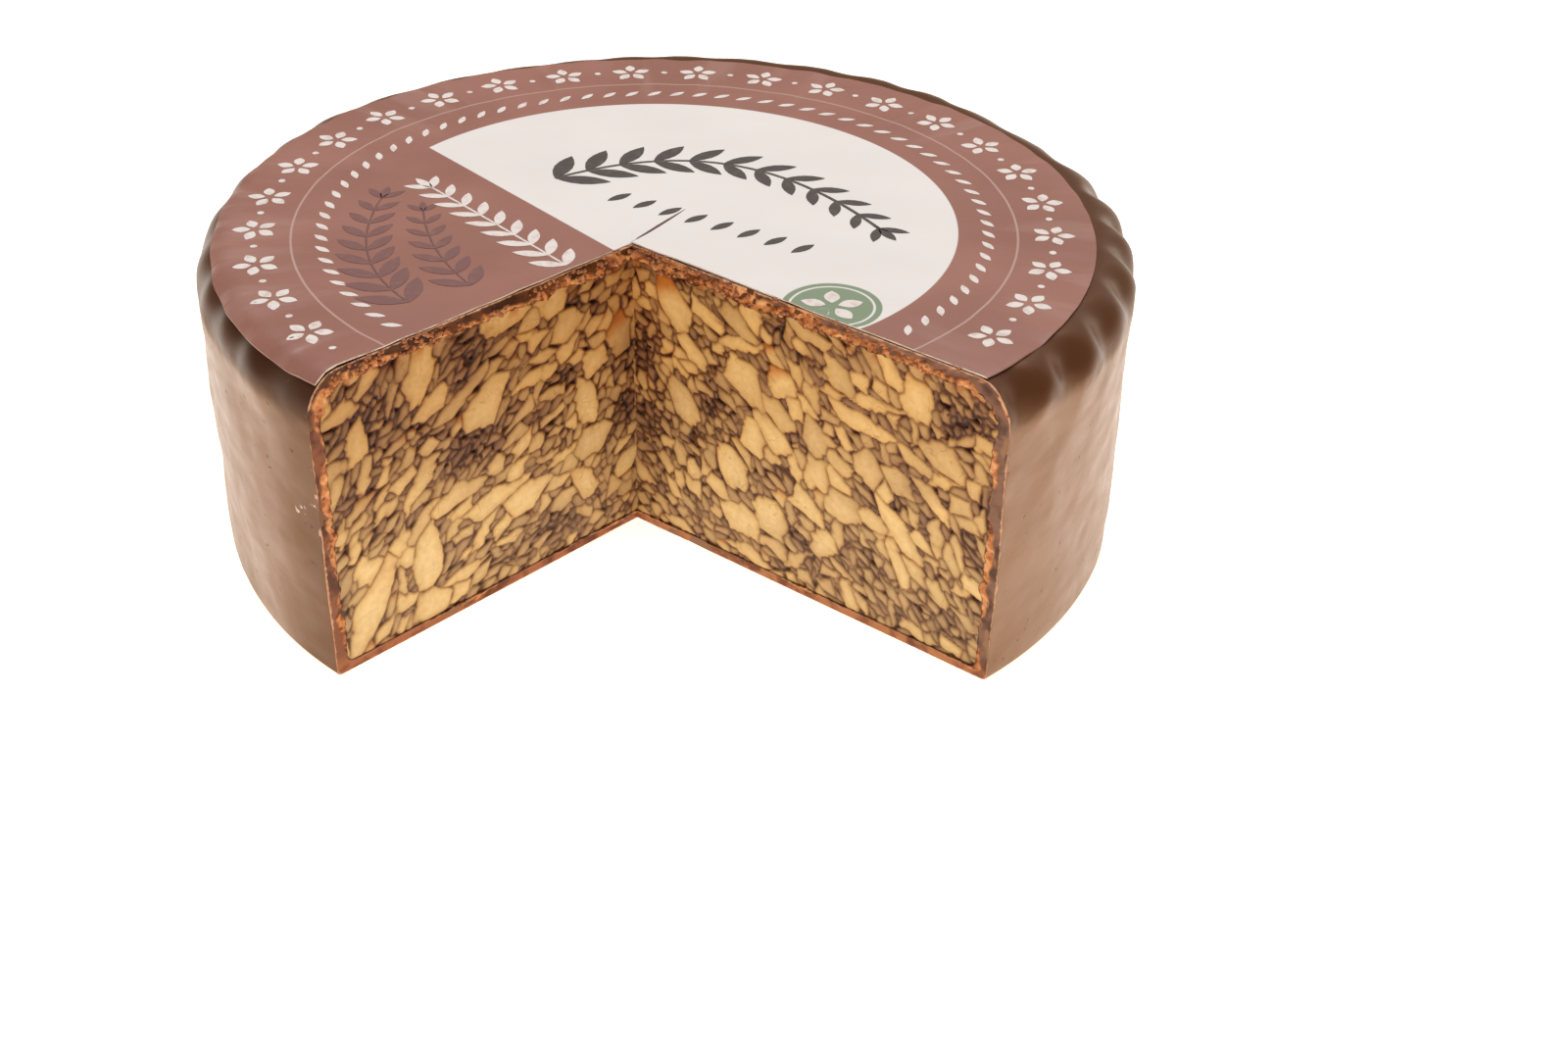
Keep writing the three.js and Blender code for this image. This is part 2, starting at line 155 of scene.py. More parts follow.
@dataclass(frozen=True)
class Wheel:
    """The wheel's plan and sections, as the solids have them."""

    radius: float = 100.0
    height: float = 68.0
    shoulder: float = 8.0
    foot: float = 1.5
    wax_wall: float = 2.8
    wax_top: float = 2.7
    wax_bottom: float = 2.0
    core_corner: float = 6.0
    core_foot: float = 1.8
    core_roll: float = 0.7
    core_roll_rings: float = 0.11
    point: Pair = (-7.1, -15.9)
    even_ring: float = 80.0
    bulge_reach: Pair = (50.0, 90.0)
    wall_wave_depth: float = 0.45
    wall_waves: tuple[int, int] = (9, 5)
    wall_wave_slant: float = 0.09
    wave_fades: Pair = (20.0, 12.0)
    settling_steps: int = 4
    bulges: tuple[Bulge, ...] = (
        Bulge(34, 13, -2.4),
        Bulge(112, 9, -0.8),
        Bulge(149, 11, 1.1),
        Bulge(-150, 14, -0.5),
    )

    def receded(self, by: float) -> "Wheel":
        """The same wheel with both sides of the wedge moved back.

        Args:
            by: How far each side moves.

        Returns:
            The other wheel.
        """
        middle = (Cut.LEFT.turn + Cut.RIGHT.turn) / 2
        back = by / math.sin((Cut.RIGHT.turn - Cut.LEFT.turn) / 2)
        x, y = self.point[0] - back * math.cos(middle), self.point[1] - back * math.sin(middle)
        return replace(self, point=(x, y))

    @property
    def shoulder_start(self) -> float:
        """Radius at which the top starts to turn down."""
        return self.radius - self.shoulder

    @property
    def wall_top(self) -> float:
        """Height at which the wall starts to turn in."""
        return self.height - self.shoulder

    def turns(self, steps: int) -> Array:
        """Plan angles round the wheel, from the right cut by the back to the left cut."""
        return np.linspace(Cut.RIGHT.turn, Cut.LEFT.turn + 2 * math.pi, steps + 1)

    def plan_swell(self, angle: Array, radius: Array) -> Array:
        """How far the plan departs from a true circle at some angles and radii."""
        return sum(bulge.at(angle) for bulge in self.bulges) * climb(*self.bulge_reach, radius)

    def wall_wave(self, angle: Array, height: Array) -> Array:
        """Slow waves of the wall, which die out at the foot and under the shoulder.

        Args:
            angle: Plan angles of the places.
            height: Their heights.

        Returns:
            How far the wall stands out at each.
        """
        foot_fade, top_fade = self.wave_fades
        above = climb(0, foot_fade, height)
        below = 1 - climb(self.wall_top - top_fade, self.wall_top, height)
        slant = self.wall_wave_slant * height
        fine, broad = self.wall_waves
        wave = np.sin(fine * angle + slant) * np.sin(broad * angle - slant / 2)
        return self.wall_wave_depth * wave * above * below

    def top_drop(self, x: Array, y: Array) -> Array:
        """How far the smooth top has turned down over the shoulder.

        Args:
            x: First plan coordinates of the places.
            y: Second ones.

        Returns:
            The drop at each place.
        """
        outer = np.hypot(x, y)
        radius = outer - self.plan_swell(np.arctan2(y, x), outer)
        over = np.clip(radius - self.shoulder_start, 0, self.shoulder)
        return self.shoulder - np.sqrt(self.shoulder**2 - over**2)

    def core_drop(self, x: Array, y: Array, height: Array) -> Array:
        """How far the rolling top of the cheese lies under its highest level.

        Args:
            x: First plan coordinates of the places.
            y: Second ones.
            height: Heights of the places, as only those near the top drop.

        Returns:
            The drop at each place.
        """
        angle, radius = np.arctan2(y, x), np.hypot(x, y)
        rings = self.core_roll_rings * radius
        roll = np.sin(rings + 3 * angle) * np.sin(5 * angle + rings / 2)
        near_top = climb(self.wall_top - self.core_corner, self.wall_top + self.core_corner, height)
        return self.core_roll * (0.5 + 0.5 * roll) * near_top

    def reach(self, turn: Array, circle: Array, centre: Pair = MIDDLE) -> Array:
        """Distance from the wedge's point to a circle.

        Args:
            turn: Plan angles to look along.
            circle: Radius of the circle.
            centre: Middle of the circle in plan.

        Returns:
            One distance for each angle.
        """
        away = np.subtract(self.point, centre)
        inward = away[0] * np.cos(turn) + away[1] * np.sin(turn)
        return -inward + np.sqrt(inward**2 - away @ away + circle**2)

    def sections(self, turns: Array, profile: Array, waves: bool) -> Array:
        """Upright sections through the wedge's point, one for each plan angle.

        Args:
            turns: Plan angles of the sections.
            profile: Outline of the wheel, as radius and height. Radii inside the even ring are
                shared out evenly from the wedge's point.
            waves: Whether the wall's waves show on it.

        Returns:
            Points in space, by section and place on the outline.
        """
        radius, height = profile.T
        turn = turns[:, None]
        share = np.minimum(radius / self.even_ring, 1)
        rim = np.maximum(radius, self.even_ring)
        swell = np.zeros((len(turns), len(profile)))
        for _ in range(self.settling_steps):
            reach = share * self.reach(turn, rim + swell)
            x = self.point[0] + reach * np.cos(turn)
            y = self.point[1] + reach * np.sin(turn)
            angle = np.arctan2(y, x)
            swell = self.plan_swell(angle, rim) + waves * self.wall_wave(angle, height)
        return np.stack([x, y, np.broadcast_to(height, x.shape)], axis=-1)

    def outer_profile(self) -> Array:
        """Outline of the whole wheel, from the middle of its base round to the middle of its top.

        Returns:
            The outline, as radius and height.
        """
        foot, wall, top = self.foot, self.wall_top, self.height
        return np.concatenate([
            line((0, 0), (self.radius - foot, 0), 12),
            arc((self.radius - foot, foot), foot, -90, 0, 7),
            line((self.radius, foot), (self.radius, wall), 42),
            arc((self.shoulder_start, wall), self.shoulder, 0, 90, 18),
            line((self.shoulder_start, top), (self.even_ring, top), 10),
            line((self.even_ring, top), (0, top), 9),
            [(0, top)],
        ])

    def inner_profile(self, room: float) -> Array:
        """Outline of the cheese, grown by some room all round, from base to top.

        Args:
            room: How much larger than the cheese it is.

        Returns:
            The outline, as radius and height.
        """
        corner, foot = self.core_corner, self.core_foot
        rim = self.radius - self.wax_wall + room
        low, high = self.wax_bottom - room, self.height - self.wax_top + room
        return np.concatenate([
            line((0, low), (rim - foot, low), 14),
            arc((rim - foot, low + foot), foot, -90, 0, 8),
            line((rim, low + foot), (rim, high - corner), 14),
            arc((rim - corner, high - corner), corner, 0, 90, 8),
            line((rim - corner, high), (0, high), 26),
            [(0, high)],
        ])

    def inner_sections(self, turns: Array, room: float = 0.0) -> Array:
        """Sections of the cheese's own surface, its rolling top included.

        Args:
            turns: Plan angles of the sections.
            room: How much larger than the cheese they are.

        Returns:
            Points in space, by section and place on the outline.
        """
        points = self.sections(turns, self.inner_profile(room), waves=False)
        points[..., 2] -= self.core_drop(*np.moveaxis(points, -1, 0))
        return points


WHEEL = Wheel()


@dataclass(frozen=True)
class LabelPlan:
    """Where the round label lies on the wheel, and how large it is."""

    radius: float = 93.0
    centre: Pair = (-2.6, -3.6)

    def free_arc(self, radius: float, margin: float) -> Pair:
        """How far a ring round the label's middle runs before it meets the cuts.

        Args:
            radius: Radius of the ring.
            margin: How far it stays away from both cuts.

        Returns:
            Its first and its last angle, in radians.
        """
        turns = np.radians(-90 + np.arange(0, 360, 0.05))
        ways = np.stack([np.cos(turns), np.sin(turns)], axis=1)
        places = np.array(self.centre) + radius * ways - WHEEL.point
        past = [places @ cut.outward[:2] for cut in Cut]
        clear = turns[np.minimum(*past) < -margin]
        return float(clear[0]), float(clear[-1])


LABEL = LabelPlan()


@dataclass(frozen=True)
class Place:
    """Where the wheel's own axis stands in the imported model's frame, in metres."""

    axis: Vector

    @classmethod
    def from_frame(cls) -> "Place":
        """Reads the axis off the label, which has its full radius to the right and to the back.

        Returns:
            The place of the axis.
        """
        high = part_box("label")[1]
        right = (LABEL.centre[0] + LABEL.radius) * MM
        back = (LABEL.centre[1] + LABEL.radius) * MM
        return cls(Vector((high.x - right, high.y - back, 0.0)))

    def metres(self, points: Array) -> Array:
        """Points in the wheel's millimetres, as points in the frame's metres."""
        return np.asarray(points) * MM + np.array(self.axis)


PLACE = Place.from_frame()


@dataclass
class Draft:
    """A mesh on its way: points, faces, a material number for each face, and named values."""

    points: Array
    faces: list[tuple[int, ...]]
    slots: list[int] = field(default_factory=list)
    values: dict[str, Array] = field(default_factory=dict)

    def build(self, name: str, sharp_deg: float = 40.0, closed: bool = True) -> Piece:
        """Makes the object, with its place in its mesh.

        Args:
            name: Name of the object and its mesh.
            sharp_deg: Edges that turn more than this stay sharp.
            closed: Whether it is a closed body, whose faces are to point outwards.

        Returns:
            The new object, in the scene.
        """
        mesh = bpy.data.meshes.new(name)
        mesh.from_pydata(PLACE.metres(self.points).tolist(), [], self.faces)
        if self.slots:
            mesh.polygons.foreach_set("material_index", self.slots)
        for key, value in self.values.items():
            mesh.attributes.new(key, "FLOAT", "POINT").data.foreach_set("value", np.float32(value).ravel())
        if closed:
            work = bmesh.new()
            work.from_mesh(mesh)
            bmesh.ops.remove_doubles(work, verts=work.verts, dist=MM / 500)
            bmesh.ops.triangulate(work, faces=[f for f in work.faces if len(f.verts) > 4])
            bmesh.ops.recalc_face_normals(work, faces=work.faces)
            work.to_mesh(mesh)
            work.free()
        mesh.shade_smooth()
        mesh.set_sharp_from_angle(angle=math.radians(sharp_deg))
        piece = bpy.data.objects.new(name, mesh)
        bpy.context.scene.collection.objects.link(piece)
        return piece


def swept(loops: Array, cap_slot: int = 0, values: dict[str, Array] | None = None) -> Draft:
    """Joins closed loops, one after the other, into a body with a flat face at each end.

    Args:
        loops: Points by loop and place in the loop.
        cap_slot: Material number of the two end faces.
        values: Named values, one for each point.

    Returns:
        The draft of the body.
    """
    count, size = loops.shape[:2]
    ids = np.arange(count * size).reshape(count, size)
    ahead = np.roll(ids, -1, axis=1)
    quads = np.stack([ids[:-1], ids[1:], ahead[1:], ahead[:-1]], axis=-1).reshape(-1, 4).tolist()
    faces = [*quads, ids[0].tolist(), ids[-1][::-1].tolist()]
    slots = [0] * len(quads) + [cap_slot] * 2
    return Draft(loops.reshape(-1, 3), faces, slots, values or {})


def rim(grid: Array) -> Array:
    """What stands round the edge of a grid, once round."""
    return np.concatenate([grid[0, :-1], grid[:-1, -1], grid[-1, :0:-1], grid[:0:-1, 0]])


def slab(base: Array, relief: Array, outward: Array, depth: float) -> Draft:
    """A plate with relief on its front, flat sides and a flat back.

    Args:
        base: Grid of points in the plane of its front.
        relief: How far each of them stands out of that plane.
        outward: Unit vector out of the front.
        depth: How far the back lies behind the plane.

    Returns:
        The draft of the plate.
    """
    rows, columns = base.shape[:2]
    ids = np.arange(rows * columns).reshape(rows, columns)
    quads = np.stack([ids[:-1, :-1], ids[:-1, 1:], ids[1:, 1:], ids[1:, :-1]], axis=-1)
    edge = rim(ids)
    front = (base + relief[..., None] * outward).reshape(-1, 3)
    back = base.reshape(-1, 3)[edge] - depth * outward
    behind = np.arange(len(edge)) + len(front)
    sides = np.stack([edge, np.roll(edge, -1), np.roll(behind, -1), behind], axis=-1)
    faces = [*quads.reshape(-1, 4).tolist(), *sides.tolist(), behind.tolist()]
    return Draft(np.concatenate([front, back]), faces)


@dataclass(frozen=True)
class Tint:
    """A colour as it is seen, from 0 to 255."""

    red: float
    green: float
    blue: float

    @property
    def rgba(self) -> tuple[float, float, float, float]:
        """The colour as the shader takes it."""
        seen = np.array([self.red, self.green, self.blue]) / 255
        light = np.where(seen <= 0.04045, seen / 12.92, ((seen + 0.055) / 1.055) ** 2.4)
        return (*light.tolist(), 1.0)


class Flow:
    """A number, vector or colour that comes out of a node. Sums of flows read as arithmetic."""

    def __init__(self, draft: "NodeDraft", socket: bpy.types.NodeSocket) -> None:
        """Holds one output of one of a draft's nodes."""
        self.draft = draft
        self.socket = socket

    def do(self, operation: str, *others: object) -> "Flow":
        """One of Blender's own sums, by its name, with this flow first."""
        return self.draft.work_out(operation, self, *others)

    def __add__(self, other: object) -> "Flow":
        """This and another."""
        return self.do("ADD", other)

    def __sub__(self, other: object) -> "Flow":
        """This less another."""
        return self.do("SUBTRACT", other)

    def __rsub__(self, other: object) -> "Flow":
        """Another less this."""
        return self.draft.work_out("SUBTRACT", other, self)

    def __mul__(self, other: object) -> "Flow":
        """This times another."""
        return self.do("MULTIPLY", other)

    def __truediv__(self, other: object) -> "Flow":
        """This over another."""
        return self.do("DIVIDE", other)

    def __abs__(self) -> "Flow":
        """This without its sign."""
        return self.do("ABSOLUTE")

    def xyz(self) -> list["Flow"]:
        """The three numbers of a vector."""
        numbers = self.draft.add("ShaderNodeSeparateXYZ", {0: self}).outputs
        return [Flow(self.draft, number) for number in numbers]

    def climb(self, low: object, high: object, start: object = 0.0, end: object = 1.0) -> "Flow":
        """An even climb over this number, from start at low to end at high, flat past both."""
        inputs = {0: self, 1: low, 2: high, 3: start, 4: end}
        return self.draft.out("ShaderNodeMapRange", inputs, interpolation_type="SMOOTHSTEP")

    def climb_mm(self, low: float, high: float, start: object = 0.0, end: object = 1.0) -> "Flow":
        """The same climb over a length, between two in millimetres."""
        return self.climb(low * MM, high * MM, start, end)

    def slope(self, low: float, high: float) -> "Flow":
        """A straight climb over this number, from 0 at low to 1 at high, flat past both."""
        return self.draft.out("ShaderNodeMapRange", {0: self, 1: low, 2: high})

    def noise(self, lump: float, detail: float = 2.0, seed: float = 0.0) -> "Flow":
        """Noise from 0 to 1 at this place in metres, with lumps of a size in millimetres."""
        inputs = {"Vector": self, "W": seed, "Scale": 1 / (lump * MM), "Detail": detail}
        return self.draft.out("ShaderNodeTexNoise", inputs, noise_dimensions="4D")

    def blend(self, first: object, second: object, mode: str = "MIX") -> "Flow":
        """A second colour laid over a first, as strongly as this number says."""
        inputs = {0: self, 6: first, 7: second}
        return self.draft.out("ShaderNodeMix", inputs, 2, data_type="RGBA", blend_type=mode)

    def ramp(self, stops: list[tuple[float, Tint]]) -> "Flow":
        """A colour that runs through several others.

        Args:
            stops: Values of this number, from 0 to 1, and the colours there.

        Returns:
            The colour.
        """
        node = self.draft.add("ShaderNodeValToRGB", {0: self})
        elements = node.color_ramp.elements
        while len(elements) < len(stops):
            elements.new(0.5)
        for element, (place, tint) in zip(elements, stops):
            element.position = place
            element.color = tint.rgba
        return Flow(self.draft, node.outputs[0])


class NodeDraft:
    """Builds the node tree of a material, of the world or of a rule, a node at a time."""

    one_number = ("DOT_PRODUCT", "LENGTH", "DISTANCE")

    def __init__(self, tree: bpy.types.NodeTree) -> None:
        """Starts on a tree."""
        self.tree = tree

    def add(
        self, kind: str, inputs: dict[str | int, object] | None = None, **settings: object
    ) -> bpy.types.Node:
        """Adds a node.

        Args:
            kind: Blender's name of the node type.
            inputs: Values, tints or flows for its inputs, by name or number.
            **settings: The node's own properties.

        Returns:
            The node.
        """
        node = self.tree.nodes.new(kind)
        for key, value in settings.items():
            setattr(node, key, value)
        for key, value in (inputs or {}).items():
            if isinstance(value, Flow):
                self.tree.links.new(value.socket, node.inputs[key])
            else:
                node.inputs[key].default_value = value.rgba if isinstance(value, Tint) else value
        return node

    def out(
        self, kind: str, inputs: dict[str | int, object] | None = None, output: str | int = 0,
        **settings: object,
    ) -> Flow:
        """Adds a node, and gives one of its outputs by name or number."""
        return Flow(self, self.add(kind, inputs, **settings).outputs[output])

    def own(self, key: str) -> Flow:
        """One of the piece's own named values."""
        return self.out("ShaderNodeAttribute", output="Fac", attribute_name=key)

    def work_out(self, operation: str, *values: object) -> Flow:
        """One of Blender's sums: of numbers, or of vectors where any of them is one.

        Args:
            operation: Blender's name of the sum. A vector times a number is scaled by it.
            *values: Numbers, vectors or flows.

        Returns:
            The result.
        """
        vectors = [
            value.socket.type == "VECTOR" if isinstance(value, Flow) else isinstance(value, tuple)
            for value in values
        ]
        if not any(vectors):
            return self.out("ShaderNodeMath", dict(enumerate(values)), operation=operation)
        if operation == "MULTIPLY" and not all(vectors):
            inputs = {"Vector": values[0], "Scale": values[1]}
            return self.out("ShaderNodeVectorMath", inputs, "Vector", operation="SCALE")
        output = "Value" if operation in self.one_number else "Vector"
        return self.out("ShaderNodeVectorMath", dict(enumerate(values)), output, operation=operation)

    def vector(self, x: object = 0.0, y: object = 0.0, z: object = 0.0) -> Flow:
        """Three numbers as a vector."""
        return self.out("ShaderNodeCombineXYZ", {0: x, 1: y, 2: z})

    def join(self, *parts: Flow) -> Flow:
        """Several geometries as one."""
        node = self.add("GeometryNodeJoinGeometry")
        for part in reversed(parts):
            self.tree.links.new(part.socket, node.inputs[0])
        return Flow(self, node.outputs[0])

    def scatter(
        self, points: Flow, motif: Flow, turn: object, size: object, chosen: object = True
    ) -> Flow:
        """A motif on each chosen point, turned about Z and of a given size."""
        return self.out("GeometryNodeInstanceOnPoints", {
            "Points": points,
            "Selection": chosen,
            "Instance": motif,
            "Rotation": self.vector(z=turn),
            "Scale": self.vector(size, size, size),
        })


class Finish:
    """What every finish shares: a material with one surface shader."""

    name: str

    def material(self) -> bpy.types.Material:
        """The finish as a material, made the first time that it is asked for."""
        made = bpy.data.materials.get(self.name)
        if made is None:
            made = bpy.data.materials.new(self.name)
            made.use_nodes = True
            made.node_tree.nodes.clear()
            draft = NodeDraft(made.node_tree)
            surface = draft.out("ShaderNodeBsdfPrincipled", self.shade(draft))
            draft.add("ShaderNodeOutputMaterial", {"Surface": surface})
        return made

    def shade(self, draft: NodeDraft) -> dict[str, object]:
        """What goes into the surface shader, by the names of its inputs. Each finish has its own."""
        raise NotImplementedError

    @staticmethod
    def place(draft: NodeDraft) -> Flow:
        """Object coordinates, in metres."""
        return draft.out("ShaderNodeTexCoord", output="Object")

    @staticmethod
    def bump(height: Flow, distance: float) -> Flow:
        """A normal from a height of 0 to 1 that stands for a distance in millimetres."""
        inputs = {"Height": height, "Distance": distance * MM, "Strength": 1.0}
        return height.draft.out("ShaderNodeBump", inputs)

    @staticmethod
    def spot(x: float, y: float, z: float = 0.0) -> Triple:
        """A place of the wheel in object coordinates."""
        return tuple(PLACE.metres((x, y, z)).tolist())


@dataclass(frozen=True)
class CoatWax(Finish):
    """Semi-gloss brown cheese wax: the skin of the coat.

    It is dark on the shoulder, and darkest by the left cut, which is painted shade. From the top of the
    wall down it is paler, partly scuffed and partly painted sheen, less so by that cut, which is also
    painted shade. A few torn flecks stick to the wall there.
    """

    name: str = "brown_wax"
    deep: Tint = Tint(92, 55, 33)
    # Painted shade: a darker tint by the left cut.
    deepest: Tint = Tint(66, 34, 17)
    # The paler wall: partly scuffed wax, partly painted sheen.
    worn: Tint = Tint(147, 107, 78)
    fleck: Tint = Tint(232, 214, 196)
    gleam: Tint = Tint(246, 200, 162)
    worn_from: float = 62.5
    worn_to: float = 56.5
    blotch: float = 18.0
    blotch_reach: float = 9.0
    polished: float = 0.36
    scuffed: float = 0.33
    gloss: float = 0.6
    corner: Pair = (-62.9, -77.7)
    corner_reach: float = 22.0
    # How much of the paler wall is kept by the left cut: less, as painted shade.
    shaded_corner_paleness: float = 0.62
    corner_roughness: float = 0.3
    # Where the painted shade by the left cut is full and where it is gone, in millimetres.
    corner_shade_reach: Pair = (15.0, 70.0)
    fleck_spots: tuple[tuple[float, float, float, float], ...] = (
        (-67.4, -73.3, 37.0, 2.4), (-64.2, -76.2, 39.8, 1.7)
    )
    smear: float = 9.0
    smear_roughness: Pair = (-0.05, 0.07)
    pit: float = 1.1
    pit_share: float = 0.09
    ripple: float = 6.0
    hill: float = 13.0
    hill_share: float = 2.4
    pock: float = 1.6
    pock_share: float = -0.5
    smooth_relief: float = 0.12
    relief: float = 0.3

    def shade(self, draft: NodeDraft) -> dict[str, object]:
        """Colour, roughness and relief by height and by distance from the left cut.

        Args:
            draft: The material's tree.

        Returns:
            What goes into the surface shader.
        """
        place = self.place(draft)
        height = (place.noise(self.blotch, 3.0) - 0.5) * (self.blotch_reach * MM) + place.xyz()[2]
        scuffed = height.climb_mm(self.worn_to, self.worn_from, 1.0, 0.0)
        away = ((place - self.spot(*self.corner)) * LEVEL).do("LENGTH")
        # The wall's paleness, partly scuffs and partly painted sheen, is held back by the left cut as
        # painted shade.
        scuffs_and_sheen = scuffed * away.climb_mm(0.0, self.corner_reach, self.shaded_corner_paleness, 1.0)
        # Painted shade: darker towards the left cut.
        pressed = away.climb_mm(*self.corner_shade_reach, 1.0, 0.0).blend(self.deep, self.deepest)
        colour = scuffs_and_sheen.blend(pressed, self.worn)
        shreds = place.noise(0.9, seed=9.0).climb(0.57, 0.63)
        for *spot, reach in self.fleck_spots:
            within = place.do("DISTANCE", self.spot(*spot)).climb_mm(0.5 * reach, reach, 1.0, 0.0)
            colour = (within * shreds).blend(colour, self.fleck)
        pocks = place.noise(self.pock, 1.0, seed=10.0).climb(0.7, 0.78)
        smears = (place * (1.0, 1.0, 3.0)).noise(self.smear, 4.0, seed=2.0)
        roughness = scuffed.climb(0.0, 1.0, self.polished, self.scuffed)
        roughness = roughness + smears.climb(0.2, 0.8, *self.smear_roughness) * scuffed
        roughness = roughness + away.climb_mm(0.0, self.corner_reach, self.corner_roughness, 0.0)
        ripples = (place * (0.7, 0.7, 1.0)).noise(self.ripple, seed=6.0)
        lumps = place.noise(self.hill, 1.0, seed=15.0) * self.hill_share + ripples
        relief = pocks * self.pock_share + lumps
        relief = place.noise(self.pit, 3.0, seed=5.0) * self.pit_share + relief
        relief = relief * scuffed.climb(0.0, 1.0, self.smooth_relief, 1.0)
        return {
            "Base Color": (pocks * 0.5).blend(colour, self.deep),
            "Roughness": roughness,
            "Normal": self.bump(relief, self.relief),
            "Specular IOR Level": self.gloss,
            "Specular Tint": self.gleam,
        }


@dataclass(frozen=True)
class CutWax(Finish):
    """Wax where the knife went through it: smooth and dull outside, torn and crumbly by the cheese."""

    name: str = "cut_wax"
    smooth_top: Tint = Tint(100, 54, 25)
    smooth_wall: Tint = Tint(142, 84, 54)
    smooth_base: Tint = Tint(180, 110, 70)
    shadow: Tint = Tint(170, 150, 136)
    torn_dark: Tint = Tint(122, 65, 30)
    torn: Tint = Tint(206, 124, 65)
    torn_pale: Tint = Tint(244, 180, 120)
    # Painted shade in the crevice where the wax meets the cheese.
    crevice_shade: Tint = Tint(40, 22, 14)
    lip: Tint = Tint(226, 172, 134)
    top_from: float = 58.0
    base_to: float = 5.0
    blotch: float = 5.0
    speck: float = 1.1
    speck_share: float = 0.7
    seam_wander: float = 0.3
    relief: float = 0.25
    roughness: float = 0.42
    gloss: float = 0.2

    def shade(self, draft: NodeDraft) -> dict[str, object]:
        """Smooth and torn colours by the piece's own values, painted shade by the cheese, pale on the lip.

        Args:
            draft: The material's tree.

        Returns:
            What goes into the surface shader.
        """
        place = self.place(draft)
        blotches = place.noise(self.blotch, 3.0)
        specks = place.noise(self.speck, 3.0, seed=3.0) - 0.5
        height = place.xyz()[2]
        high = height.climb_mm(self.top_from, WHEEL.height - 3)
        low = height.climb_mm(1.5, self.base_to, 1.0, 0.0)
        smooth = low.blend(high.blend(self.smooth_wall, self.smooth_top), self.smooth_base)
        smooth = blotches.climb(0.42, 0.62).blend(smooth, self.shadow, "MULTIPLY")
        lumps = specks * self.speck_share + blotches
        torn = lumps.ramp([(0.34, self.torn_dark), (0.47, self.torn), (0.72, self.torn_pale)])
        colour = draft.own("torn").blend(smooth, torn)
        wander = specks * self.seam_wander + draft.own("skin")
        # Painted shade along the crevice by the cheese.
        colour = wander.climb(0.02, 0.1, 0.75, 0.0).blend(colour, self.crevice_shade)
        colour = wander.climb(0.88, 0.99, 0.0, 0.85).blend(colour, self.lip)
        return {
            "Base Color": colour,
            "Roughness": self.roughness,
            "Normal": self.bump(lumps, self.relief),
            "Specular IOR Level": self.gloss,
        }


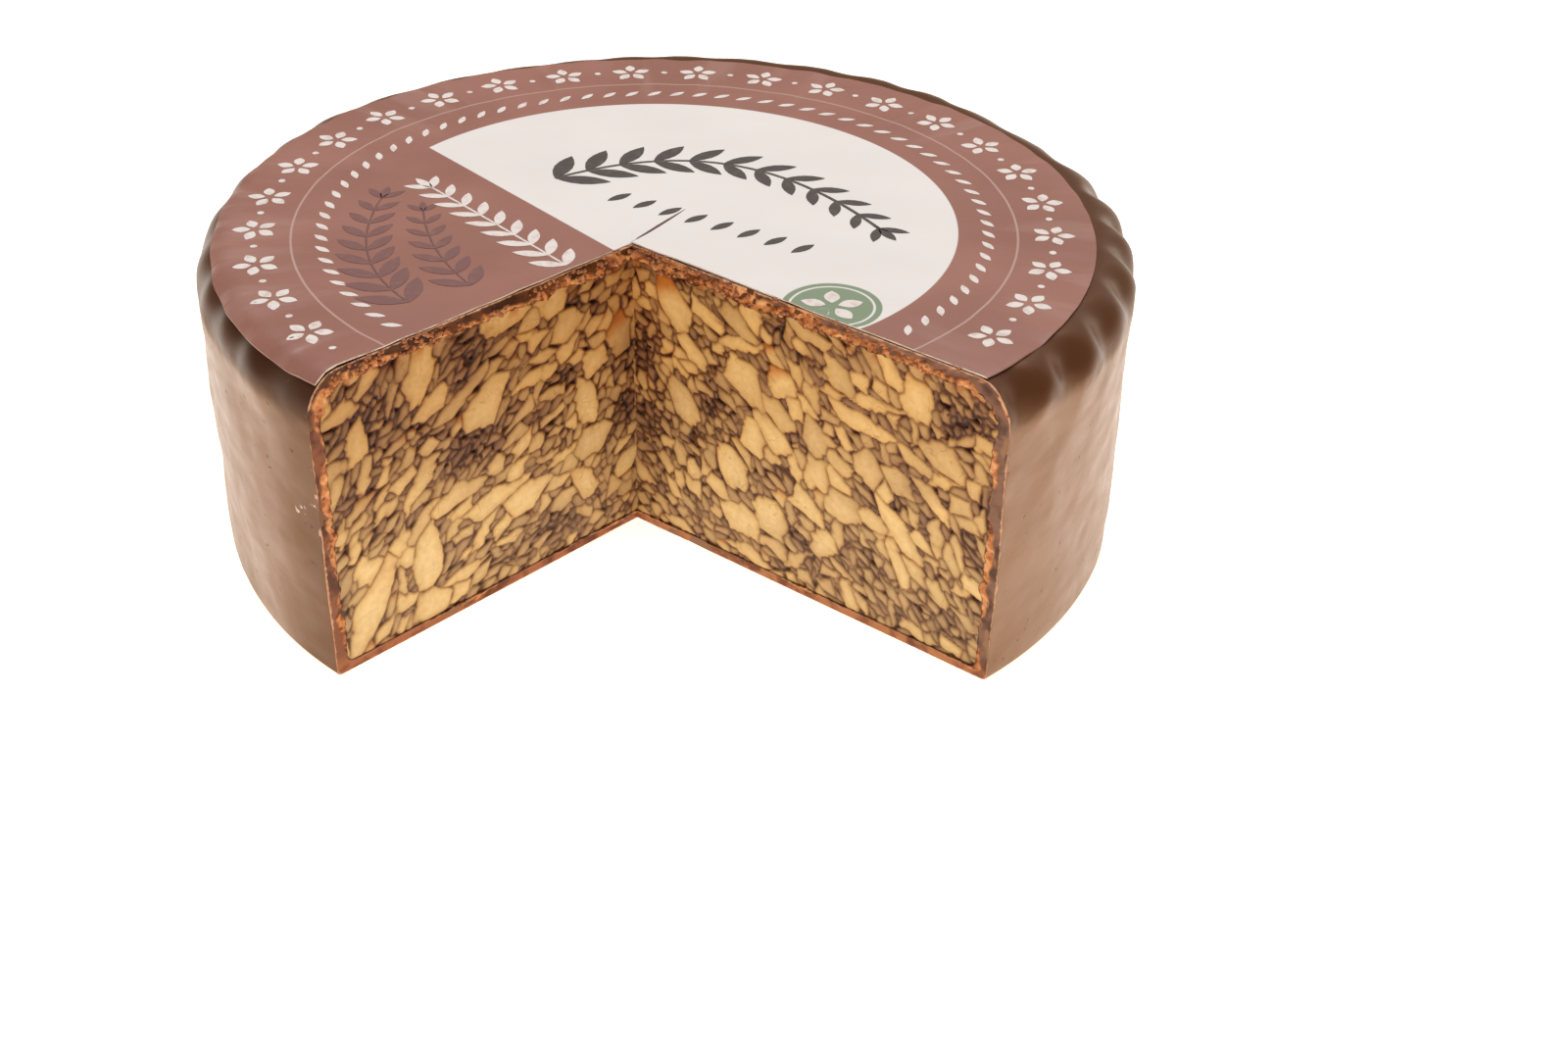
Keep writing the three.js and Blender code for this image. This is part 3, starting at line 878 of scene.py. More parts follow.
@dataclass(frozen=True)
class CutCheese(Finish):
    """The cut mosaic: pale curds in dark veins, by the depth of each point in its curd.

    The pale and the dull tints run from the vein inwards, at the steps' depths in millimetres.
    """

    name: str = "cut_cheese"
    pale: tuple[Tint, ...] = (
        Tint(62, 33, 17), Tint(114, 70, 40), Tint(160, 111, 66),
        Tint(210, 168, 106), Tint(241, 203, 135), Tint(253, 221, 158),
    )
    dull: tuple[Tint, ...] = (
        Tint(41, 22, 13), Tint(76, 45, 30), Tint(100, 67, 48),
        Tint(127, 91, 66), Tint(148, 110, 82), Tint(172, 133, 96),
    )
    steps: tuple[float, ...] = (-0.4, -0.08, 0.03, 0.22, 0.6, 2.0)
    fleck: Tint = Tint(150, 100, 58)
    stain: Tint = Tint(216, 150, 72)
    # Painted light from the floor: a paler tint at the foot of the face, gone by a height in millimetres.
    floor_bounce: Tint = Tint(214, 180, 140)
    floor_bounce_top: float = 40.0
    amber: Tint = Tint(214, 158, 90)
    amber_reach: float = 13.0
    amber_strength: float = 0.3
    amber_heights: Pair = (8.0, 58.0)
    # Painted shade: a darker, warmer tint towards the top of the face, between two heights.
    top_shade: Tint = Tint(226, 206, 186)
    top_shade_heights: Pair = (12.0, 60.0)
    rust: float = 0.7
    rust_heights: Pair = (60.5, 65.0)
    rust_patch: float = 4.0
    grain: float = 1.4
    grain_reach: float = 0.16
    relief: float = 0.05
    roughness: float = 0.46
    gloss: float = 0.18

    @staticmethod
    def flecks(place: Flow) -> Flow:
        """How much a place takes of the fleck's colour.

        Args:
            place: The place, in object coordinates.

        Returns:
            A share that shows as fine mottling, hairline cracks and specks.
        """
        mottling = place.noise(1.2, seed=11.0).climb(0.35, 0.75, 0.0, 0.16)
        crack = abs(place.noise(6.0, seed=12.0) - 0.5).climb(0.003, 0.009, 0.35, 0.0)
        cracked = place.noise(9.0, 1.0, seed=13.0).climb(0.5, 0.58)
        speck = place.noise(0.5, 1.0, seed=14.0).climb(0.72, 0.78, 0.0, 0.4)
        return mottling.do("MAXIMUM", crack * cracked).do("MAXIMUM", speck)

    def shade(self, draft: NodeDraft) -> dict[str, object]:
        """Colour by depth, tone and stain, then by height, with painted light low and painted shade high,
        and by nearness to the wedge's point.

        Args:
            draft: The material's tree.

        Returns:
            What goes into the surface shader.
        """
        place = self.place(draft)
        height = place.xyz()[2]
        grain = place.noise(self.grain, 3.0)
        low, high = self.steps[0], self.steps[-1]
        depth = (draft.own("depth") + (grain - 0.5) * self.grain_reach).slope(low, high)
        shares = [(step - low) / (high - low) for step in self.steps]
        dull, pale = (depth.ramp(list(zip(shares, tints))) for tints in (self.dull, self.pale))
        colour = self.flecks(place).blend(draft.own("tone").blend(dull, pale), self.fleck)
        colour = (draft.own("stain") * 0.9).blend(colour, self.stain, "MULTIPLY")
        # Painted light from the floor: paler towards the bottom.
        colour = height.climb_mm(0.0, self.floor_bounce_top, 0.1, 0.0).blend(colour, self.floor_bounce)
        away = ((place - self.spot(*WHEEL.point)) * LEVEL).do("LENGTH")
        glow = away.climb_mm(0.0, self.amber_reach, self.amber_strength, 0.0)
        glow = glow * height.climb_mm(*self.amber_heights, 0.25, 1.0)
        colour = glow.blend(colour, self.amber, "MULTIPLY")
        # Painted shade: darker and warmer towards the top.
        colour = height.climb_mm(*self.top_shade_heights).blend(colour, self.top_shade, "MULTIPLY")
        patches = place.noise(self.rust_patch, seed=7.0).climb(0.46, 0.6)
        rusty = height.climb_mm(*self.rust_heights, 0.0, self.rust) * patches
        return {
            "Base Color": rusty.blend(colour, self.stain, "MULTIPLY"),
            "Roughness": self.roughness,
            "Normal": self.bump(grain, self.relief),
            "Specular IOR Level": self.gloss,
        }


@dataclass(frozen=True)
class PrintedFilm(Finish):
    """The label's satin print: a dusky rose ground, and a cream field with one straight side."""

    name: str = "label_film"
    ground: Tint = Tint(170, 118, 103)
    ground_deep: Tint = Tint(158, 108, 94)
    cream: Tint = Tint(243, 234, 228)
    sage: Tint = Tint(142, 156, 128)
    rule: Tint = Tint(196, 160, 148)
    sheen: Tint = Tint(206, 168, 156)
    field_radius: float = 64.0
    chord_deg: float = 42.6
    chord_away: float = -16.9
    disc_centre: Pair = (37.0, -38.5)
    disc_radius: float = 10.0
    disc_ring: Pair = (8.2, 8.7)
    rule_radius: float = 76.6
    rule_width: float = 0.45
    soft_edge: float = 0.12
    fold: float = 11.0
    fold_stretch: float = 0.2
    folds_from: float = 52.0
    mottle: float = 30.0
    crease: float = 14.0
    speckle: float = 1.2
    speckle_share: float = 0.06
    relief: float = 0.4
    roughness: Pair = (0.32, 0.48)
    refraction: float = 1.48

    def wrinkles(self, flat: Flow, radius: Flow) -> Flow:
        """Fine folds that run out to the rim, where the film was drawn down over the shoulder.

        Args:
            flat: The place in plan, from the label's middle.
            radius: Its distance from there.

        Returns:
            How strong the folds are at the place.
        """
        way = flat.do("NORMALIZE") * (LABEL.radius * MM)
        folds = (way + flat.draft.vector(z=radius * self.fold_stretch)).noise(self.fold, 3.0, seed=3.0)
        return folds.climb(0.45, 0.8) * radius.climb_mm(self.folds_from, LABEL.radius)

    def inside(self, distance: Flow, limit: float) -> Flow:
        """One where a distance is under a limit, nought past it, with a thin soft edge."""
        return distance.climb_mm(limit - self.soft_edge, limit + self.soft_edge, 1.0, 0.0)

    def shade(self, draft: NodeDraft) -> dict[str, object]:
        """Fields of colour worked out from the distance to the label's middle.

        Args:
            draft: The material's tree.

        Returns:
            What goes into the surface shader.
        """
        place = self.place(draft)
        flat = (place - self.spot(*LABEL.centre)) * LEVEL
        radius = flat.do("LENGTH")
        colour = place.noise(self.mottle).climb(0.3, 0.7).blend(self.ground, self.ground_deep)
        off = abs(radius - self.rule_radius * MM)
        colour = self.inside(off, self.rule_width / 2).blend(colour, self.rule)
        chord = math.radians(self.chord_deg)
        across = flat.do("DOT_PRODUCT", (math.cos(chord), math.sin(chord), 0.0))
        field_share = self.inside(radius, self.field_radius) * (1.0 - self.inside(across, self.chord_away))
        colour = field_share.blend(colour, self.cream)
        away = flat.do("DISTANCE", tuple(c * MM for c in (*self.disc_centre, 0.0)))
        colour = self.inside(away, self.disc_radius).blend(colour, self.sage)
        inner, outer = (self.inside(away, limit) for limit in self.disc_ring)
        colour = (outer - inner).blend(colour, self.cream)
        creases = (place * (0.6, 1.0, 1.0)).noise(self.crease, 3.0, seed=4.0)
        wrinkles = self.wrinkles(flat, radius)
        relief = place.noise(self.speckle, seed=8.0) * self.speckle_share + creases + wrinkles
        return {
            "Base Color": wrinkles.climb(0.1, 0.5, 0.0, 0.16).blend(colour, self.sheen),
            "Roughness": creases.climb(0.2, 0.8, *self.roughness),
            "Normal": self.bump(relief, self.relief),
            "IOR": self.refraction,
        }


@dataclass(frozen=True)
class OneColour(Finish):
    """One colour, worn through to another here and there."""

    name: str
    tint: Tint
    worn: Tint
    roughness: float = 0.45
    refraction: float = 1.48

    def shade(self, draft: NodeDraft) -> dict[str, object]:
        """The colour, thinned by fine noise.

        Args:
            draft: The material's tree.

        Returns:
            What goes into the surface shader.
        """
        thin = self.place(draft).noise(2.0, 3.0).climb(0.45, 0.8)
        colour = thin.blend(self.tint, self.worn)
        return {"Base Color": colour, "Roughness": self.roughness, "IOR": self.refraction}


@dataclass(frozen=True)
class PaleFloor(Finish):
    """A white table, lit from below as well, as in a studio."""

    name: str = "pale_floor"
    tint: Tint = Tint(250, 249, 247)
    glow_front: float = 1.15
    glow_back: float = 0.75
    warmth: tuple[float, float, float, float] = (1.0, 0.885, 0.745, 1.0)
    roughness: float = 0.7

    def shade(self, draft: NodeDraft) -> dict[str, object]:
        """Matt white with a warm glow of its own, strongest in front of the wheel.

        Args:
            draft: The material's tree.

        Returns:
            What goes into the surface shader.
        """
        back = self.place(draft).xyz()[1]
        return {
            "Base Color": self.tint,
            "Roughness": self.roughness,
            "Emission Color": self.warmth,
            "Emission Strength": back.climb(-0.14, 0.16, self.glow_front, self.glow_back),
        }


COAT_WAX = CoatWax()
CUT_WAX = CutWax()
GREY_CUT_WAX = replace(
    CUT_WAX, name="grey_cut_wax", smooth_top=Tint(140, 96, 74), smooth_wall=Tint(140, 100, 78),
    smooth_base=Tint(196, 130, 84),
)
CUT_CHEESE = CutCheese()
# The right face's copy, painted as if lit more brightly: less painted shade towards the top and a paler
# amber.
LIT_CUT_CHEESE = replace(
    CUT_CHEESE, name="fresh_cut_cheese", top_shade=Tint(251, 237, 219), amber=Tint(244, 198, 124)
)
PRINTED_FILM = PrintedFilm()
CREAM_INK = OneColour("cream_ink", Tint(240, 228, 220), Tint(214, 190, 178))
UMBER_INK = OneColour("umber_ink", Tint(86, 76, 72), Tint(104, 92, 86))
ROSE_INK = OneColour("deep_rose_ink", Tint(132, 92, 86), Tint(146, 104, 96))
PAPER_EDGE = OneColour("paper_edge", Tint(226, 206, 192), Tint(188, 152, 134))
WAX_CRUMB = OneColour("wax_crumb", Tint(164, 96, 54), Tint(214, 150, 98))
DARK_NICK = OneColour("dark_nick", Tint(96, 66, 52), Tint(120, 84, 66))


def dress(piece: Piece, *finishes: Finish) -> None:
    """Gives a piece its materials, in the order of its material numbers."""
    piece.data.materials.clear()
    for finish in finishes:
        piece.data.materials.append(finish.material())


def hand_over(piece: Piece, slot: str, *nodes: str) -> Piece:
    """Rides a finished piece on the body, and hides the solids that it stands for.

    Args:
        piece: The finished piece.
        slot: The record's material slot; not used.
        *nodes: The solids that it replaces, if any.

    Returns:
        The same piece.
    """
    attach(piece, BODY)
    if nodes:
        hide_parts(*nodes)
    LOG.info("%s: %d faces", piece.name, len(piece.data.polygons))
    return piece


def link(name: str, data: bpy.types.ID) -> Piece:
    """Puts a new object with some data into the scene."""
    made = bpy.data.objects.new(name, data)
    bpy.context.scene.collection.objects.link(made)
    return made


class Rule:
    """A rule that makes or moves geometry: one node tree with named inputs for its sizes.

    A rule lists its fields that are inputs by kind: lengths in millimetres, angles in degrees, and
    what goes in as it is.
    """

    name: str
    lengths: ClassVar[tuple[str, ...]] = ()
    angles: ClassVar[tuple[str, ...]] = ()
    plain: ClassVar[tuple[str, ...]] = ()
    kinds: ClassVar[dict[type, str]] = {
        int: "NodeSocketInt",
        float: "NodeSocketFloat",
        tuple: "NodeSocketVector",
        bpy.types.Object: "NodeSocketObject",
    }

    def sizes(self) -> dict[str, object]:
        """The named inputs.

        Returns:
            Their values by name, in metres and radians.
        """
        return {
            **{key: getattr(self, key) * MM for key in self.lengths},
            **{key.removesuffix("_deg"): math.radians(getattr(self, key)) for key in self.angles},
            **{key: getattr(self, key) for key in self.plain},
        }

    def grow(self, draft: NodeDraft, given: dict[str, Flow]) -> Flow:
        """Builds the nodes between the tree's ends. Each rule has its own.

        Args:
            draft: The tree.
            given: The named inputs, with the geometry that comes in.

        Returns:
            The geometry that goes out.
        """
        raise NotImplementedError

    def tree(self) -> bpy.types.NodeTree:
        """The node tree, made the first time that it is asked for.

        Returns:
            The tree, with the rule's sizes and the finish as its inputs.
        """
        made = bpy.data.node_groups.get(self.name)
        if made is None:
            made = bpy.data.node_groups.new(self.name, "GeometryNodeTree")
            made.interface.new_socket("Geometry", in_out="OUTPUT", socket_type="NodeSocketGeometry")
            made.interface.new_socket("Geometry", in_out="INPUT", socket_type="NodeSocketGeometry")
            for key, value in self.sizes().items():
                made.interface.new_socket(key, in_out="INPUT", socket_type=self.kinds[type(value)])
            made.interface.new_socket("Finish", in_out="INPUT", socket_type="NodeSocketMaterial")
            draft = NodeDraft(made)
            start = draft.add("NodeGroupInput")
            given = {key: Flow(draft, start.outputs[key]) for key in ("Geometry", *self.sizes(), "Finish")}
            grown = self.grow(draft, given)
            whole = draft.out("GeometryNodeRealizeInstances", {"Geometry": grown})
            inputs = {"Geometry": whole, "Material": given["Finish"]}
            dressed = draft.out("GeometryNodeSetMaterial", inputs)
            draft.add("NodeGroupOutput", {0: dressed})
        return made

    def apply(self, piece: Piece, finish: Finish) -> Piece:
        """Runs the rule on a piece and leaves the result as a plain mesh.

        Args:
            piece: The piece, whose mesh the rule takes in.
            finish: What the result is made of.

        Returns:
            The same piece, with its new mesh.
        """
        modifier = piece.modifiers.new(self.name, "NODES")
        modifier.node_group = self.tree()
        given = {**self.sizes(), "Finish": finish.material()}
        for item in modifier.node_group.interface.items_tree:
            if item.in_out == "INPUT" and item.name in given:
                modifier[item.identifier] = given[item.name]
        depsgraph = bpy.context.evaluated_depsgraph_get()
        ready = bpy.data.meshes.new_from_object(
            piece.evaluated_get(depsgraph), preserve_all_data_layers=True, depsgraph=depsgraph
        )
        piece.modifiers.clear()
        old = piece.data
        piece.data = ready
        bpy.data.meshes.remove(old)
        ready.name = piece.name
        return piece


@dataclass
class PressedScallops(Rule):
    """Round thumb-pressed dishes along the shoulder, and the slow lumps of dipped wax."""

    name: str = "pressed_scallops"
    count: int = 36
    depth: float = 2.2
    shallowest: float = 0.28
    deepest_deg: float = -22.0
    spread_deg: float = 75.0
    middle: float = 7.6
    half_height: float = 8.8
    unevenness: float = 0.03
    swing: float = 0.12
    swing_waves: Pair = (3.0, 7.0)
    lump: float = 15.0
    lump_stretch: Triple = (0.75, 0.75, 1.0)
    lump_depth: float = 1.9
    lump_fades: Pair = (3.0, 8.0)
    lengths = ("depth", "middle", "half_height", "lump_depth")
    angles = ("deepest_deg", "spread_deg")
    plain = ("count", "shallowest", "unevenness", "swing")

    def grow(self, draft: NodeDraft, given: dict[str, Flow]) -> Flow:
        """Moves the skin in along the shoulder's own direction, and in and out by the lumps.

        Args:
            draft: The tree.
            given: The named inputs, with the smooth piece.

        Returns:
            The pressed piece.
        """
        place = draft.out("GeometryNodeInputPosition")
        skin = draft.out("GeometryNodeInputNamedAttribute", {"Name": "skin"}, data_type="FLOAT")
        x, y, height = (place - tuple(PLACE.axis)).xyz()
        angle = y.do("ARCTAN2", x)
        radius = draft.vector(x, y).do("LENGTH")
        start, wall = WHEEL.shoulder_start * MM, WHEEL.wall_top * MM
        rise = (height - wall).do("MAXIMUM", 0.0)
        out = (radius - start).do("MAXIMUM", 0.01 * MM)
        tilt = rise.do("ARCTAN2", out)
        below = (wall - height).do("MAXIMUM", 0.0)
        inside = (start - radius).do("MAXIMUM", 0.0)
        drop = (math.pi / 2 - tilt) * (WHEEL.shoulder * MM) + below - inside
        push = self.dent(angle, drop, given) * skin
        level = push * tilt.do("COSINE")
        toward = draft.vector(
            level * angle.do("COSINE"), level * angle.do("SINE"), push * tilt.do("SINE")
        )
        base_fade, top_fade = self.lump_fades
        off_top = height.climb_mm(WHEEL.height, WHEEL.height - top_fade)
        off_base = height.climb_mm(0.2, base_fade)
        lumps = (place * self.lump_stretch).noise(self.lump) - 0.5
        high = lumps * given["lump_depth"] * (off_top * off_base)
        swell = draft.out("GeometryNodeInputNormal") * (high * skin)
        inputs = {"Geometry": given["Geometry"], "Offset": swell - toward}
        return draft.out("GeometryNodeSetPosition", inputs)

    def dent(self, angle: Flow, drop: Flow, given: dict[str, Flow]) -> Flow:
        """Depth of the dishes: oval, of uneven pitch and depth, with soft ridges between.

        Args:
            angle: Plan angle of each place.
            drop: How far each place lies down the shoulder from where it starts to turn.
            given: The named inputs.

        Returns:
            The depth at each place.
        """
        broad, fine = self.swing_waves
        first = (angle * broad + 1.0).do("SINE")
        second = (angle * fine).do("SINE")
        uneven = (second * 0.6 + first) * given["unevenness"]
        pitches = (angle + uneven) * (given["count"] / (2 * math.pi))
        across = pitches.do("FRACT") * 2.0 - 1.0
        down = (drop - given["middle"]) / given["half_height"]
        away = (across * across + down * down).do("SQRT").do("MINIMUM", 1.0)
        dish = (away * math.pi).do("COSINE") * 0.5 + 0.5
        turn = (angle - given["deepest"]).do("WRAP", -math.pi, math.pi)
        share = turn / given["spread"]
        fall = (share * share * -1.0).do("EXPONENT")
        strength = fall * (1.0 - given["shallowest"]) + given["shallowest"]
        strength = strength * (second * given["swing"] + 1.0)
        return dish * strength * given["depth"]


SCALLOPS = PressedScallops()


@dataclass
class WaxCoat:
    """The wax round the cheese: one shell over top, wall and base, open at the cut."""

    steps: int = 580

    def build(self) -> Piece:
        """Sweeps the coat's section round the wedge's point and presses its scallops.

        Returns:
            The coat.
        """
        turns = WHEEL.turns(self.steps)
        outside = WHEEL.sections(turns, WHEEL.outer_profile(), waves=True)
        inside = WHEEL.inner_sections(turns)[:, ::-1]
        skin = np.concatenate([np.ones(outside.shape[:2]), np.zeros(inside.shape[:2])], axis=1)
        coat = swept(np.concatenate([outside, inside], axis=1), values={"skin": skin}).build("wax_coat")
        SCALLOPS.apply(coat, COAT_WAX)
        return hand_over(coat, "wax", "wax_coat")


@dataclass
class WaxEdge:
    """The coat's cut edge on one side of the wedge: smooth outside, torn and wavy by the cheese."""

    cut: Cut
    finish: CutWax
    torn_top: float
    torn_wall: float
    torn_until: float
    stations: int = 860
    ribs: int = 13
    inset: float = 0.12
    smear: Pair = (1.1, 0.35)
    burr: float = 0.45
    burr_overhang: float = 0.4
    depth: float = 0.8
    proud: float = 0.05
    drag: float = 0.04
    crags: float = 0.5
    torn_fade: float = 4.0
    top_climb: float = 5.0
    wander: Pair = (0.5, 0.18)
    softness: float = 0.09
    corner_heights: Pair = (55.0, 60.0)
    corner_reach: Pair = (14.0, 8.0)
    smear_heights: Pair = (3.0, 12.0)
    burr_heights: Pair = (8.0, 20.0)

    def outline(self, profile: Array, outer: bool) -> Array:
        """The section's outline at the cut, at even steps from base round to top.

        Args:
            profile: The outline, as radius and height.
            outer: Whether it is the skin's, and not the cheese's.

        Returns:
            Points in space, one row each.
        """
        turn = np.array([self.cut.turn])
        points = WHEEL.sections(turn, profile, waves=outer)[0]
        if not outer:
            points[:, 2] -= WHEEL.core_drop(*points.T)
        steps = np.concatenate([[0], np.cumsum(np.linalg.norm(np.diff(points, axis=0), axis=1))])
        even = np.linspace(0, steps[-1], self.stations)
        return np.stack([np.interp(even, steps, column) for column in points.T], axis=1)

    def torn(self, base: Array, along: Array, across: Array) -> Array:
        """How torn the wax is at each place, from 0 on the smooth cut to 1 by the cheese.

        Args:
            base: Points of the strip, by station and rib.
            along: Distance of each from the start of the outline.
            across: Share of the way in from the skin to the cheese.

        Returns:
            One number for each place.
        """
        height = base[..., 2]
        reach = np.linalg.norm(base[..., :2] - np.array(WHEEL.point), axis=-1)
        top = climb(WHEEL.wall_top, WHEEL.wall_top + self.top_climb, height)
        until = 1 - climb(self.torn_until - self.torn_fade, self.torn_until, reach)
        share = top * until * self.torn_top + (1 - top) * self.torn_wall
        broad, fine = self.wander
        wander = broad * SoftNoise(21, 8).on_line(along) + fine * SoftNoise(22, 1.5).at(along, 3 * across)
        by_cheese = climb(-self.softness, self.softness, across + wander - 1 + share) * (share > 0.02)
        near, far = (WHEEL.shoulder_start - inside for inside in self.corner_reach)
        corner = climb(*self.corner_heights, height) * climb(near, far, reach)
        ragged = climb(-0.1, 0.3, SoftNoise(23, 2.5).on_line(along))
        return np.maximum(by_cheese, corner * ragged * (1 - climb(0.1, 0.3, across + 0.5 * wander)))

    def build(self) -> Piece:
        """Lays the strip between the outer and inner outlines and roughens it.

        Returns:
            The strip.
        """
        outer = self.outline(WHEEL.outer_profile(), outer=True)
        inner = self.outline(WHEEL.inner_profile(-self.inset), outer=False)
        inward = (inner - outer) / np.linalg.norm(outer - inner, axis=1, keepdims=True)
        place = np.linspace(0, 1, self.stations) * np.linalg.norm(np.diff(outer, axis=0), axis=1).sum()
        slow, quick = SoftNoise(31, 5).on_line(place), SoftNoise(32, 1.1).on_line(place)
        smear = self.smear[0] * np.clip(slow, 0, 1) + self.smear[1] * quick
        inner = inner + inward * (climb(*self.smear_heights, outer[:, 2]) * smear)[:, None]
        lip = SoftNoise(33, 3).on_line(place) + 0.5 * SoftNoise(34, 0.8).on_line(place)
        lip = self.burr * np.clip(lip, 0, 1) * climb(*self.burr_heights, outer[:, 2])
        outer = outer + inward * (self.inset - self.burr_overhang * lip)[:, None]
        across = np.linspace(0, 1, self.ribs)[None, :]
        base = outer[:, None] * (1 - across[..., None]) + inner[:, None] * across[..., None]
        along = np.broadcast_to(place[:, None], base.shape[:2])
        across = np.broadcast_to(across, base.shape[:2])
        torn = self.torn(base, along, across)
        crags = SoftNoise(3, 1.6).at(along, 3 * across) + 0.6 * SoftNoise(4, 0.7).at(along, 3 * across)
        drags = SoftNoise(5, 3.0).at(along, 9 * across)
        relief = self.proud + self.drag * drags + torn * self.crags * (0.3 + 0.5 * crags)
        relief += lip[:, None] * (1 - climb(0, 0.3, across))
        plate = slab(base, relief, self.cut.outward, self.depth)
        for key, value in {"skin": 1 - across, "torn": torn}.items():
            plate.values[key] = np.concatenate([value.ravel(), rim(value)])
        strip = plate.build(f"wax_edge_{self.cut.name.lower()}", sharp_deg=50)
        SCALLOPS.apply(strip, self.finish)
        return hand_over(strip, "wax", "wax_coat")


@dataclass(frozen=True)
class Curd:
    """A curd where the knife crossed it: its place on the cut face, its size and its lean."""

    along: float
    height: float
    length: float
    width: float
    lean_deg: float
    stain: float = 0.0


LEFT_CURDS = (
    Curd(73, 11, 26, 7, 121, 0.2),
    Curd(59, 17, 16, 9, 95),
    Curd(41, 46, 15, 9, 135),
    Curd(35, 64, 16, 8, 175),
    Curd(40, 23, 19, 6, 170),
    Curd(57, 59, 14, 8, 115),
    Curd(51, 28, 15, 6, 165),
    Curd(32, 20, 12, 8, 170),
    Curd(13, 26, 11, 8, 150),
    Curd(58, 5, 11, 8, 165),
    Curd(58, 36, 15, 5, 130),
    Curd(14, 36, 13, 6, 80),
    Curd(22, 63, 9, 8, 160),
    Curd(15, 16, 11, 7, 65, 0.2),
    Curd(47, 50, 14, 4, 140),
    Curd(27, 47, 14, 4, 175),
    Curd(19, 56, 9, 7, 145),
    Curd(73, 49, 11, 5, 120),
    Curd(76, 58, 9, 5, 150),
    Curd(4, 48, 11, 8, 95, 0.9),
    Curd(73, 21, 8, 7, 160),
    Curd(11, 45, 8, 7, 170),
)

RIGHT_CURDS = (
    Curd(30, 47, 14, 9, 135),
    Curd(11, 58, 13, 8, 125, 1.0),
    Curd(14, 35, 13, 7, 130),
    Curd(30, 12, 13, 8, 155),
    Curd(73, 58, 12, 8, 110, 0.2),
    Curd(71, 26, 17, 6, 130),
    Curd(61, 48, 18, 5, 165),
    Curd(38, 16, 11, 8, 120),
    Curd(38, 36, 14, 6, 140),
    Curd(80, 47, 14, 6, 155),
    Curd(50, 31, 10, 8, 95),
    Curd(27, 24, 11, 8, 130),
    Curd(49, 40, 9, 8, 135),
    Curd(33, 34, 10, 7, 105),
    Curd(56, 26, 11, 7, 175),
    Curd(33, 4, 14, 4, 165),
    Curd(62, 38, 9, 7, 140),
    Curd(47, 23, 11, 6, 155),
    Curd(54, 56, 11, 6, 135),
    Curd(40, 49, 8, 7, 145, 0.8),
    Curd(52, 15, 8, 8, 145),
    Curd(20, 58, 12, 5, 160),
    Curd(16, 48, 10, 5, 145),
    Curd(70, 38, 8, 6, 150),
)


@dataclass(frozen=True)
class Crumble:
    """A patch of a cut face where the curds are small and grey: its middle and its two spans."""

    along: float
    height: float
    wide: float
    tall: float

    def at(self, along: Array, height: Array) -> Array:
        """How crumbled places are, from 0 outside the patch to 1 in its middle."""
        x, y = (along - self.along) / self.wide, (height - self.height) / self.tall
        return np.exp(-(x**2) - y**2)


LEFT_CRUMBLE = (
    Crumble(2, 45, 3, 5),
    Crumble(68, 56, 8, 7),
    Crumble(46, 38, 16, 5),
    Crumble(26, 10, 9, 4),
    Crumble(3, 30, 4, 6),
    Crumble(44, 56, 7, 6),
)
RIGHT_CRUMBLE = (
    Crumble(2, 44, 4, 7),
    Crumble(4, 24, 4, 6),
    Crumble(46, 12, 6, 4),
    Crumble(84, 57, 6, 4),
    Crumble(22, 40, 4, 6),
    Crumble(74, 38, 6, 3),
)


@dataclass(frozen=True)
class CurdShape:
    """A curd's middle, flat sides, tone and stain, and the way to its lit side."""

    centre: Array
    reach: float
    ways: Array
    away: Array
    tone: float
    stain: float
    lit: Pair
    rounding: float = 0.09

    def spread(self, margin: float) -> float:
        """A distance from the middle that no corner lies past, once the curd is grown by a margin."""
        return self.reach + 2.2 * margin

    def gap(self, along: Array, height: Array) -> Array:
        """How far places lie outside the curd, its corners rounded.

        Args:
            along: Distances from the wedge's point.
            height: Heights, of the same shape.

        Returns:
            One distance for each place, negative inside.
        """
        x, y = along - self.centre[0], height - self.centre[1]
        out = self.ways[:, 0, None, None] * x + self.ways[:, 1, None, None] * y - self.away[:, None, None]
        most = out.max(axis=0)
        return most + self.rounding * np.log(np.exp((out - most) / self.rounding).sum(axis=0))

    def side(self, along: Array, height: Array) -> Array:
        """How far places lie towards the curd's lit side, about -1 to 1 across it."""
        x, y = along - self.centre[0], height - self.centre[1]
        return (x * self.lit[0] + y * self.lit[1]) / self.away.mean()


